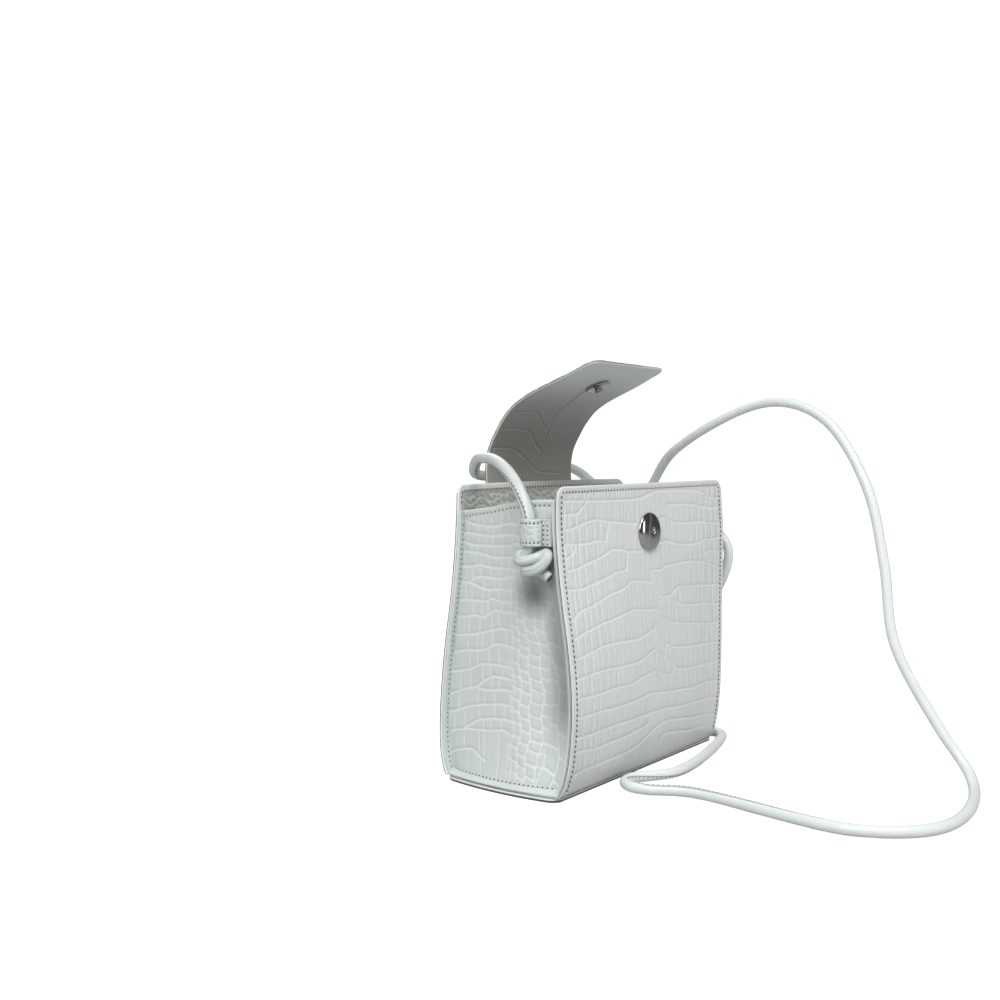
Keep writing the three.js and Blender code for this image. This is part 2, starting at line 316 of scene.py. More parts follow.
# a smooth line through the rows of a table
def curve(keys, values, at):
    keys = np.asarray(keys, float)
    values = np.asarray(values, float)
    at = np.clip(np.asarray(at, float), keys[0], keys[-1])
    last = len(keys) - 1
    rows = np.arange(last + 1)
    low = np.maximum(rows - 1, 0)
    high = np.minimum(rows + 1, last)
    slope = ((values[high] - values[low]).T / (keys[high] - keys[low])).T
    i = np.clip(np.searchsorted(keys, at) - 1, 0, last - 1)
    span = keys[i + 1] - keys[i]
    t = (at - keys[i]) / span
    if values.ndim > 1:
        t = t[..., None]
        span = span[..., None]
    rise = t * t * (t - 1) * slope[i + 1] * span + t * (t - 1) ** 2 * slope[i] * span
    return values[i] + (values[i + 1] - values[i]) * smooth(t) + rise


# scatter between 0 and 1 that is the same each run
def chance(a, b):
    value = np.sin(np.asarray(a, float) * 12.9898 + np.asarray(b, float) * 78.233 + 4.1) * 43758.5453
    return value - np.floor(value)


def bell(away, wide):
    return np.exp(-((away / wide) ** 2))


def unit(v):
    return v / np.linalg.norm(v, axis=-1, keepdims=True)


# distance from each point to the nearest charted groove
def awayFromLines(u, v, lines, reach, finer=5):
    away = np.full(u.shape, float(reach))
    for line in lines:
        points = np.asarray(line, float)
        last = len(points) - 1
        points = curve(np.arange(last + 1), points, np.linspace(0, last, last * finer + 1))
        low = points.min(0) - reach
        high = points.max(0) + reach
        near = np.nonzero((u > low[0]) & (u < high[0]) & (v > low[1]) & (v < high[1]))
        un = u[near]
        vn = v[near]
        best = away[near]
        for a, b in zip(points[:-1], points[1:]):
            run = b - a
            share = np.clip(((un - a[0]) * run[0] + (vn - a[1]) * run[1]) / max(run @ run, 1e-9), 0, 1)
            best = np.minimum(best, np.hypot(un - a[0] - share * run[0], vn - a[1] - share * run[1]))
        away[near] = best
    return away


# which row of scales a point lies in
def rowOf(u, v, lines):
    row = np.zeros(u.shape)
    for line in lines:
        points = np.asarray(sorted(line), float)
        level = np.interp(u, points[:, 0], points[:, 1])
        row += (u > points[0, 0] - 2) & (u < points[-1, 0] + 2) & (v < level)
    return row


# distance to the upright divisions of a row of scales
def awayFromSplits(u, row, pitch, seed, scatter=0.56):
    shift = chance(row, seed)
    k = np.floor(u / pitch + shift)
    away = np.full(u.shape, float(pitch))
    for step in (-1, 0, 1, 2):
        place = (k + step - shift + scatter * (chance(row + seed, k + step) - 0.5)) * pitch
        away = np.minimum(away, np.abs(u - place))
    return away


# distance to the borders of small rounded scales
def awayFromCells(u, v, wide, tall, seed, scatter=0.55):
    i = np.floor(u / wide)
    j = np.floor(v / tall)
    first = np.full(u.shape, 9.0)
    second = np.full(u.shape, 9.0)
    for di in (-1, 0, 1):
        for dj in (-1, 0, 1):
            cu = (i + di + 0.5 + scatter * (chance(i + di, j + dj + seed) - 0.5)) * wide
            cv = (j + dj + 0.5 + scatter * (chance(j + dj + 31, i + di + seed) - 0.5)) * tall
            far = np.hypot((u - cu) / wide, (v - cv) / tall)
            second = np.minimum(second, np.maximum(first, far))
            first = np.minimum(first, far)
    return (second - first) * 0.25 * (wide + tall)


# distance to the borders of squarish scales that stand in columns
def awayFromBricks(u, v, wide, tall, seed, roundness=2.4):
    lean = u + 0.14 * wide * np.sin(1.7 * v / tall + seed)
    k = np.floor(lean / wide)
    aside = np.full(u.shape, float(wide))
    column = k - 1
    for step in (-1, 0, 1, 2):
        place = (k + step + 0.34 * (chance(seed, k + step) - 0.5)) * wide
        aside = np.minimum(aside, np.abs(lean - place))
        column = column + (lean > place)
    level = v / tall + chance(column, seed + 7)
    m = np.round(level)
    over = np.full(u.shape, float(tall))
    for step in (-1, 0, 1):
        place = m + step + 0.3 * (chance(column + seed, m + step) - 0.5)
        over = np.minimum(over, np.abs(level - place) * tall)
    corner = np.log(np.exp(-roundness * aside) + np.exp(-roundness * over))
    return np.maximum(-corner / roundness, 0)


def pillow(away, wide):
    return 1 - (1 - np.clip(away / wide, 0, 1)) ** 2


# even steps with finer ones at both ends, so a rolled edge stays round
def steps(length, pitch, lip):
    count = max(int(round((length - 2 * lip) / pitch)), 2)
    fine = lip * np.array([0, 0.1, 0.3, 0.6])
    return np.concatenate([fine, np.linspace(lip, length - lip, count + 1), length - fine[::-1]])


def normalsOf(points):
    across = np.gradient(points, axis=1)
    up = np.gradient(points, axis=0)
    normal = np.cross(across, up)
    return normal / np.maximum(np.linalg.norm(normal, axis=2, keepdims=True), 1e-9)


def deselect():
    bpy.ops.object.select_all(action="DESELECT")


# one grid laid over an array of points, with its groove depth kept for the finish
def layGrid(name, points, finish, marks=None):
    rows, columns = points.shape[:2]
    deselect()
    bpy.ops.mesh.primitive_grid_add(x_subdivisions=columns - 1, y_subdivisions=rows - 1, size=2)
    piece = bpy.context.object
    piece.name = name
    mesh = piece.data
    flat = np.empty(len(mesh.vertices) * 3, np.float32)
    mesh.vertices.foreach_get("co", flat)
    at = flat.reshape(-1, 3)
    i = np.rint((at[:, 0] + 1) / 2 * (columns - 1)).astype(int)
    j = np.rint((at[:, 1] + 1) / 2 * (rows - 1)).astype(int)
    mesh.vertices.foreach_set("co", (points[j, i] * mm).astype(np.float32).ravel())
    for word, values in (marks or {"groove": np.zeros((rows, columns))}).items():
        kept = mesh.attributes.new(word, "FLOAT", "POINT")
        kept.data.foreach_set("value", values[j, i].astype(np.float32))
    mesh.update()
    mesh.materials.append(finishes[finish])
    return piece


def joinPieces(first, *others):
    deselect()
    for piece in (first, *others):
        piece.select_set(True)
    bpy.context.view_layer.objects.active = first
    bpy.ops.object.join()
    return first


def inEditMode(piece):
    deselect()
    piece.select_set(True)
    bpy.context.view_layer.objects.active = piece
    bpy.ops.object.mode_set(mode="EDIT")
    bpy.ops.mesh.select_mode(type="EDGE")
    bpy.ops.mesh.select_all(action="SELECT")


def leaveEditMode(piece, angle=60):
    bpy.ops.mesh.select_all(action="SELECT")
    bpy.ops.mesh.normals_make_consistent(inside=False)
    bpy.ops.object.mode_set(mode="OBJECT")
    bpy.ops.object.shade_smooth_by_angle(angle=math.radians(angle))
    return piece


# gives some of a grid's faces another finish, row by row
def paintFaces(piece, chosen, finish):
    piece.data.materials.append(finishes[finish])
    piece.data.polygons.foreach_set("material_index", chosen.astype(np.int32).ravel())


# the least of each face's four corner values
def faceLow(values):
    low = np.minimum(values[:-1], values[1:])
    return np.minimum(low[:, :-1], low[:, 1:])


# closes the edge between a piece's outer and inner face
def closeRim(piece, finish="hole"):
    piece.data.materials.append(finishes[finish])
    inEditMode(piece)
    bpy.ops.mesh.select_all(action="DESELECT")
    bpy.ops.mesh.select_non_manifold(extend=False)
    bpy.ops.mesh.bridge_edge_loops()
    piece.active_material_index = len(piece.data.materials) - 1
    bpy.ops.object.material_slot_assign()
    return leaveEditMode(piece)


def weld(piece, distance=0.02):
    inEditMode(piece)
    bpy.ops.mesh.remove_doubles(threshold=distance * mm)
    return leaveEditMode(piece)


def belongs(piece, slot, *nodes):
    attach(piece, "root")
    if nodes:
        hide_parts(*nodes)
    return piece


# how far a rolled edge drops, by the distance to it
def edgeDrop(away, lip, deep):
    t = np.clip(1 - away / lip, 0, 1)
    return deep * (1 - np.sqrt(np.maximum(1 - t * t, 0)))


def cornerInset(away, radius):
    t = np.clip(radius - away, 0, radius)
    return radius - np.sqrt(np.maximum(radius * radius - t * t, 0))


def evenly(points, pitch):
    points = np.asarray(points, float)
    lengths = np.concatenate([[0], np.cumsum(np.linalg.norm(np.diff(points, axis=0), axis=1))])
    count = max(int(round(lengths[-1] / pitch)), 1)
    at = np.linspace(0, lengths[-1], count + 1)
    return np.stack([np.interp(at, lengths, points[:, k]) for k in range(points.shape[1])], 1)


# sizes are length, width and height
stitching = {
    "pitch": 2.75,
    "thread": (1.8, 0.8, 0.7),
    "hole": (1.75, 1.0, 0.44),
    "slant": 0.62,
    "sway": 0.12,
    "traceStep": 0.7,
}


def beadShape(segments, rings):
    deselect()
    bpy.ops.mesh.primitive_uv_sphere_add(segments=segments, ring_count=rings, radius=0.5)
    bead = bpy.context.object
    points = np.array([vertex.co for vertex in bead.data.vertices])
    faces = [tuple(face.vertices) for face in bead.data.polygons]
    bpy.data.objects.remove(bead)
    return points, faces


threadBead = beadShape(8, 5)
holeBead = beadShape(7, 4)


def newPiece(name, points, edges, faces):
    mesh = bpy.data.meshes.new(name)
    mesh.from_pydata([tuple(point) for point in points], edges, faces)
    piece = bpy.data.objects.new(name, mesh)
    bpy.context.scene.collection.objects.link(piece)
    deselect()
    piece.select_set(True)
    bpy.context.view_layer.objects.active = piece
    return piece


# threads and needle holes along runs of (points, normals), with a piece's own changes to the stitches
def sew(name, runs, slot="leather", **changes):
    look = dict(stitching, **changes)
    # the needle holes are near-black beads: painted shade
    beads = ((threadBead, look["thread"], 0.5), (holeBead, look["hole"], 0.0))
    points = []
    faces = []
    kinds = []
    for path, normals in runs:
        spots = evenly(np.hstack([path, normals]), look["pitch"])
        tangents = np.gradient(spots[:, :3], axis=0)
        for k in range(len(spots) - 1):
            for kind, (bead, size, share) in enumerate(beads):
                spot = spots[k] * (1 - share) + spots[k + 1] * share
                normal = unit(spot[3:])
                ahead = unit(tangents[k] - normal * (tangents[k] @ normal))
                aside = np.cross(normal, ahead)
                lean = look["slant"] + look["sway"] * (chance(k, kind) - 0.5)
                line = ahead * math.cos(lean) + aside * math.sin(lean)
                cross = aside * math.cos(lean) - ahead * math.sin(lean)
                start = len(points)
                points.extend(spot[:3] + (bead[0] * size) @ np.array([line, cross, normal]))
                faces.extend(tuple(start + corner for corner in face) for face in bead[1])
                kinds.extend([kind] * len(bead[1]))
    piece = newPiece(name, np.array(points) * mm, [], faces)
    piece.data.polygons.foreach_set("material_index", kinds)
    piece.data.materials.append(finishes["thread"])
    piece.data.materials.append(finishes["hole"])
    bpy.ops.object.shade_smooth()
    return belongs(piece, slot)


# the strap's route from the left keeper to the right keeper
strap = {
    "radius": 3,
    "length": 1.299,
    "step": 1.1,
    # thicker by this share at the left keeper, over this length
    "swell": (0.1, 75),
    "wave": (0.05, 7),
    # angles of the section: close together at the seam, then even
    "nearSeam": [0, 0.1, 0.22, 0.4],
    "firstEven": 0.65,
    "evenCount": 17,
    "seamDeep": 0.45,
    "seamWide": 0.16,
    "seamEase": 40,
    "creasePitch": 10.5,
    "creaseLean": 1.6,
    "creaseBand": 80,
    "creaseWide": 0.5,
    "creaseDeep": 0.1,
    # where the painted light along the strap begins and where it is full
    "paintedLightSpan": (60, 330),
    "stitch": {"hole": (1.2, 0.7, 0.36), "slant": 0.3},
    "stitchTurn": 0.26,
    "stitchLift": 0.28,
    "plainEnd": 12,
    "route": [
        (-87.5, -22.6, 133.2), (-87.5, -22.5, 148.4), (-85.8, -15.8, 161.6), (-80.5, -3.5, 172.2),
        (-72.5, 13.3, 178.8), (-64, 31, 178.8), (-55, 41, 171.6), (-28, 49.5, 168.5),
        (49, 47, 172.6), (97, 45, 151), (107, 37, 149), (109.5, 27, 153.5),
        (102.5, 0, 183.5), (104, -66, 213.2), (103, -102, 202.5), (97, -131, 163),
        (90.5, -144.5, 118), (82.5, -154, 73), (79, -180, 30), (72, -199, 8),
        (17, -213, 3.4), (-19, -206, 3.4), (-40, -177, 3.4), (-33, -86, 3.4),
        (-42.6, -67, 3.4), (-43.6, -57.4, 3.4), (-38.2, -50.2, 3.4), (-28.6, -49.6, 3.4),
        (-4, -62, 3.4), (77, -47.6, 3.4), (89.8, -40.8, 3.4), (94, -25, 5.4),
        (96, -9, 38), (105.8, -37.8, 119), (108.6, -10, 145.6), (104.8, -9.8, 156),
        (97.8, -14.8, 160.4), (90.4, -20.4, 156.4), (87.5, -22.6, 147.6), (87.5, -22.6, 133.2),
    ],
    # which way the seam faces, by the number of the route point
    "seam": {
        0: (-1, -0.1, 0), 2: (-1, -0.1, -0.3), 3: (-0.92, -0.29, -0.6), 4: (-0.7, -0.56, -0.8),
        5: (-0.51, -0.79, -0.6), 7: (0.3, -0.6, -0.7), 9: (0.78, 0.62, 0), 18: (0.78, 0.62, -0.2),
        20: (0.3, 0.6, -0.7), 21: (0.5, 0.5, 0.5), 22: (0.25, 0.2, 0.95), 23: (-0.5, -0.22, 0.8),
        24: (-0.4, -0.3, 0.85), 25: (0.4, 0, 0.9), 26: (0.3, -0.5, 0.8), 27: (0.1, -0.9, 0.3),
        28: (-0.1, -0.8, -0.6), 29: (-0.2, -0.5, -0.8), 31: (0.8, 0.5, -0.2),
        33: (0.9, 0.4, 0), 39: (0.9, -0.3, -0.2),
    },
}


# a rounded line through route points, even in length
def smoothRoute(points, step, finer=24):
    p = np.asarray(points, float)
    p = np.vstack([2 * p[0] - p[1], p, 2 * p[-1] - p[-2]])
    gaps = np.linalg.norm(np.diff(p, axis=0), axis=1) ** 0.5
    dense = []
    for k in range(1, len(p) - 2):
        d0, d1, d2 = gaps[k - 1:k + 2]
        a = ((p[k] - p[k - 1]) / d0 - (p[k + 1] - p[k - 1]) / (d0 + d1) + (p[k + 1] - p[k]) / d1) * d1
        b = ((p[k + 1] - p[k]) / d1 - (p[k + 2] - p[k]) / (d1 + d2) + (p[k + 2] - p[k + 1]) / d2) * d1
        t = np.linspace(0, 1, finer, endpoint=False)[:, None]
        rise = p[k + 1] - p[k]
        dense.append(p[k] + a * t + (3 * rise - 2 * a - b) * t * t + (a + b - 2 * rise) * t ** 3)
    dense.append(p[-2][None])
    return evenly(np.vstack(dense), step)


def squareTo(ahead, sides):
    return unit(sides - ahead * np.sum(sides * ahead, axis=-1, keepdims=True))


# side directions that turn as little as they can along a line
def sideDirections(path):
    ahead = unit(np.gradient(path, axis=0))
    side = np.cross(ahead[0], (0.3, 0.8, 0.52))
    sides = []
    for direction in ahead:
        side = squareTo(direction, side)
        sides.append(side)
    sides = np.array(sides)
    return sides, np.cross(ahead, sides)


# side directions that keep to the charted seam
def seamDirections(path, look):
    ahead = unit(np.gradient(path, axis=0))
    spots = [np.argmin(np.linalg.norm(path - np.array(look["route"][k]), axis=1)) for k in look["seam"]]
    ways = np.array(list(look["seam"].values()))
    row = np.arange(len(path))
    sides = np.stack([np.interp(row, spots, ways[:, k]) for k in range(3)], 1)
    for _ in range(look["seamEase"]):
        sides = squareTo(ahead, sides)
        sides[1:-1] = (sides[:-2] + 2 * sides[1:-1] + sides[2:]) / 4
    sides = squareTo(ahead, sides)
    return sides, np.cross(ahead, sides)


def tubePoints(path, sides, others, angles, radius):
    ring = np.cos(angles)[None, :, None] * sides[:, None] + np.sin(angles)[None, :, None] * others[:, None]
    points = path[:, None] + ring * radius[..., None]
    points[:, -1] = points[:, 0]
    return points


# closes a tube's seam and its two ends
def closeTube(piece):
    weld(piece)
    inEditMode(piece)
    bpy.ops.mesh.select_all(action="DESELECT")
    bpy.ops.mesh.select_non_manifold(extend=False)
    bpy.ops.mesh.edge_face_add()
    return leaveEditMode(piece)


def addStrap(look):
    path = smoothRoute(look["route"], look["step"])
    sides, others = seamDirections(path, look)
    whole = 2 * math.pi
    near = np.array(look["nearSeam"])
    even = np.linspace(look["firstEven"], whole - look["firstEven"], look["evenCount"])
    angles = np.concatenate([near, even, whole - near[::-1]])
    turned = np.minimum(angles, whole - angles)[None, :] * np.ones((len(path), 1))
    along = look["step"] * np.arange(len(path))[:, None] + 0 * turned

    # faint creases across the roll, most of them faded
    pitch = look["creasePitch"]
    leaning = along + look["creaseLean"] * np.sin(angles)[None, :]
    crease = awayFromSplits(leaning, np.round(along / look["creaseBand"]), pitch, 5)
    groove = bell(crease, look["creaseWide"]) * chance(np.round(along / pitch), 2) ** 2

    share, reach = look["swell"]
    wave, waveLong = look["wave"]
    radius = look["radius"] * (1 + share * bell(along, reach)) + wave * np.sin(along / waveLong)
    radius = radius - look["creaseDeep"] * groove - look["seamDeep"] * bell(turned, look["seamWide"])
    points = tubePoints(path, sides, others, angles, radius)
    # painted highlight on the creases and beside the seam, painted shade in the seam, painted light rising
    # from the hairpin towards the arch
    marks = {
        "groove": np.maximum(0.5 * groove, 0.5 * bell(turned - 2 * look["seamWide"], 0.12)),
        "paintedShade": 0.8 * bell(turned, 0.13),
        "reach": ramp(along, *look["paintedLightSpan"]),
    }
    piece = layGrid("strap", points, "strap", marks)
    closeTube(piece)
    belongs(piece, "strap", "strap_cord")

    # one row of stitches beside the seam
    out = np.cos(look["stitchTurn"]) * sides + np.sin(look["stitchTurn"]) * others
    line = path + out * (radius[:, :1] + look["stitchLift"])
    keep = slice(look["plainEnd"], len(path) - look["plainEnd"])
    sewn = sew("strap_stitching", [(line[keep], out[keep])], "strap", **look["stitch"])


addStrap(strap)
print("strap laid")

bag = {
    "halfWidth": 85,
    "top": 165,
    "bottom": 2.4,
    "thick": 1.8,
    "corner": 6.5,
    "lip": 1.2,
    "lipDeep": 0.73,
    "plainEdge": (0.6, 2.2),
    "scaleReach": 5,
    "seamReach": 3,
    "sewnDeep": 0.22,
    "swell": 0.25,
    "swellLong": (23, 31),
    "backBow": 12,
    # how far forward or back the leather lies at each height: front panel's left and right edge, back panel
    "z": [2.4, 6, 13, 22, 34, 48, 64, 83, 101, 119, 136, 150, 165],
    "left": [-38.6, -41.4, -44.2, -46.2, -47.6, -48.3, -47.8, -45.8, -43, -40.6, -39, -38.5, -39.2],
    "right": [-38.2, -39.6, -41.2, -42.6, -43.6, -44.1, -44.2, -44.2, -44.6, -45, -45.1, -44.4, -43.4],
    "back": [38.8, 40.6, 42.2, 43, 42.9, 42, 40.4, 37.8, 34.8, 32.4, 30.8, 29.9, 29.5],
}


def frontY(x, z):
    left = curve(bag["z"], bag["left"], z)
    right = curve(bag["z"], bag["right"], z)
    return left + (right - left) * (x + bag["halfWidth"]) / (2 * bag["halfWidth"])


def backY(x, z):
    bow = bag["backBow"] * (1 - (x / bag["halfWidth"]) ** 2) * (z / bag["top"]) ** 1.2
    return curve(bag["z"], bag["back"], z) + bow


def slopeOf(face, x, z):
    return face(x, z + 0.5) - face(x, z - 0.5)


# distance along Y that covers a thickness measured square to the leather
def acrossY(face, x, z, thick):
    return thick * np.hypot(1, slopeOf(face, x, z))


def panelPoints(across, up, facing):
    u, z = np.meshgrid(across * facing, up)
    half = bag["halfWidth"] - cornerInset(bag["top"] - z, bag["corner"])
    x = half * u
    edge = np.minimum(np.minimum(half - np.abs(x), bag["top"] - z), z - bag["bottom"])
    return x, z, edge


# stitch line round a panel, a set distance inside its edge: up one side, over the top, down the other
def panelSeam(inset, topInset, low):
    side = bag["halfWidth"] - inset
    top = bag["top"] - topInset
    turn = bag["corner"] - inset
    bends = np.linspace(0, math.pi / 2, 7)
    corner = [(side - turn + turn * math.cos(a), top - turn + turn * math.sin(a)) for a in bends]
    right = [(side, low), *corner]
    return np.array([(-x, z) for x, z in right] + right[::-1])


# slow waves of the hand-sewn leather
def panelSwell(x, z):
    wide, tall = bag["swellLong"]
    return bag["swell"] * np.sin(x / wide + 1) * np.sin(z / tall + 2)


panelLook = {
    "pitch": 0.6,
    "seamInset": 3.9,
    "seamTop": 2.9,
    "seamLow": 7,
    "sewnWide": 0.95,
    # fine lines in the middle of the panel, squarer scales outside it
    "middle": (34, 68),
    "grooveWide": 0.48,
    "splitPitch": 6.4,
    "splitWide": 0.48,
    "finePitch": 2.7,
    "fineWide": 0.42,
    "deep": 0.36,
    "pillow": 0.16,
    "pillowWide": 3,
    # painted shade beside the lines
    "flankShade": 0.1,
    "plainBelow": 12,
    # the inner face, finer near the open top
    "innerAcross": 1.0,
    "innerFine": 0.7,
    "innerCoarse": 3.4,
    "fineAbove": 136,
    "crinkleSize": (6.4, 4),
    "crinkleWide": 0.62,
    "crinkleDeep": 0.6,
    "strip": 2.4,
    # strength of the flap's painted shadow on the inner strip
    "dim": 0,
    "stitchLift": 0.06,
    "innerStitch": {"hole": (2.1, 1.05, 0.5), "thread": (1, 0.6, 0.5)},
    "innerStitchTall": 10,
}


def panelOuter(name, face, facing, look, scales, seam):
    half = bag["halfWidth"]
    across = steps(2 * half, look["pitch"], bag["lip"]) / half - 1
    up = steps(bag["top"] - bag["bottom"], look["pitch"], bag["lip"]) + bag["bottom"]
    x, z, edge = panelPoints(across, up, facing)
    away = awayFromLines(x, z, scales["rows"] + scales.get("links", []), bag["scaleReach"])
    row = rowOf(x, z, scales["rows"])
    side = ramp(np.abs(x), *look["middle"])
    split = awayFromSplits(x + 0.05 * z, row, look["splitPitch"], 3)
    fine = awayFromSplits(x, row + 40, look["finePitch"], 9)
    groove = bell(away, look["grooveWide"])
    groove = np.maximum(groove, (0.3 + 0.5 * side) * bell(split, look["splitWide"]))
    groove = np.maximum(groove, (0.5 - 0.25 * side) * bell(fine, look["fineWide"]))
    groove = groove * ramp(z, look["plainBelow"] - 4, look["plainBelow"])
    sewn = bell(awayFromLines(x, z, [seam], bag["seamReach"]), look["sewnWide"])
    groove = groove * (1 - 0.8 * sewn) * ramp(edge, *bag["plainEdge"])
    tile = look["pillow"] * pillow(np.minimum(away, split + 1.2 * (1 - side)), look["pillowWide"])
    height = tile + panelSwell(x, z) - look["deep"] * groove - bag["sewnDeep"] * sewn
    height = height - edgeDrop(edge, bag["lip"], bag["lipDeep"])
    # painted shade beside the lines and splits
    flankShade = np.maximum(bell(away - 1.2, 0.5), 0.6 * side * bell(split - 1.1, 0.45))
    flankShade = look["flankShade"] * flankShade * (1 - groove) * ramp(edge, 3, 6)
    points = np.stack([x, face(x, z), z], 2)
    points = points + normalsOf(points) * height[..., None]
    return layGrid(name, points, "white", {"groove": groove, "paintedShade": flankShade})


def panelInner(name, face, facing, look):
    half = bag["halfWidth"]
    low = bag["bottom"]
    fineAbove = look["fineAbove"]
    strip = look["strip"]
    across = steps(2 * half, look["innerAcross"], bag["lip"]) / half - 1
    rise = steps(bag["top"] - low, look["innerFine"], bag["lip"]) + low
    coarse = np.arange(low + 4, fineAbove, look["innerCoarse"])
    up = np.concatenate([rise[:5], coarse, rise[rise > fineAbove]])
    x, z, edge = panelPoints(across, up, -facing)
    cells = awayFromCells(x + 0.9 * z + 2 * np.sin(z / 5), z + 1.5 * np.sin(x / 4), *look["crinkleSize"], 4)
    shown = ramp(edge, strip + 1, strip + 2.6) * ramp(z, fineAbove - 8, fineAbove)
    crinkle = look["crinkleDeep"] * shown * bell(cells, look["crinkleWide"])
    depth = bag["thick"] - edgeDrop(edge, bag["lip"], bag["lipDeep"])
    inside = face(x, z) + facing * (acrossY(face, x, z, depth) - crinkle)
    # the plain strip along the edge, dimmer to the right: painted light on its left and the flap's painted
    # shadow on its right; the crinkles get the painted highlight colour
    border = 1 - ramp(edge, strip, strip + 0.4)
    toRight = ramp(x, -15, 25)
    marks = {
        "groove": np.maximum(crinkle / look["crinkleDeep"], border * (1 - toRight)),
        "paintedShade": look["dim"] * border * toRight,
    }
    inner = layGrid(name + "_inside", np.stack([x, inside, z], 2), "inner", marks)
    paintFaces(inner, faceLow(edge) < strip, "white")
    return inner


# one row outside all round, one inside along the open top
def sewPanel(name, face, facing, look, seam):
    x, z = evenly(seam, stitching["traceStep"]).T
    slope = slopeOf(face, x, z)
    spots = np.stack([x, face(x, z), z], 1)
    out = unit(np.stack([0 * slope, 0 * slope - facing, facing * slope], 1))
    rise = panelSwell(x, z)[:, None] + look["stitchLift"]
    sew(name + "_stitching", [(spots + rise * out, out)])
    top = z > bag["top"] - look["innerStitchTall"]
    inside = spots - bag["thick"] * out
    sew(name + "_inner_stitching", [(inside[top], -out[top])], **look["innerStitch"])


def addPanel(name, face, facing, look, scales, node):
    seam = panelSeam(look["seamInset"], look["seamTop"], look["seamLow"])
    outer = panelOuter(name, face, facing, look, scales, seam)
    joinPieces(outer, panelInner(name, face, facing, look))
    closeRim(outer)
    belongs(outer, "leather", node)
    sewPanel(name, face, facing, look, seam)


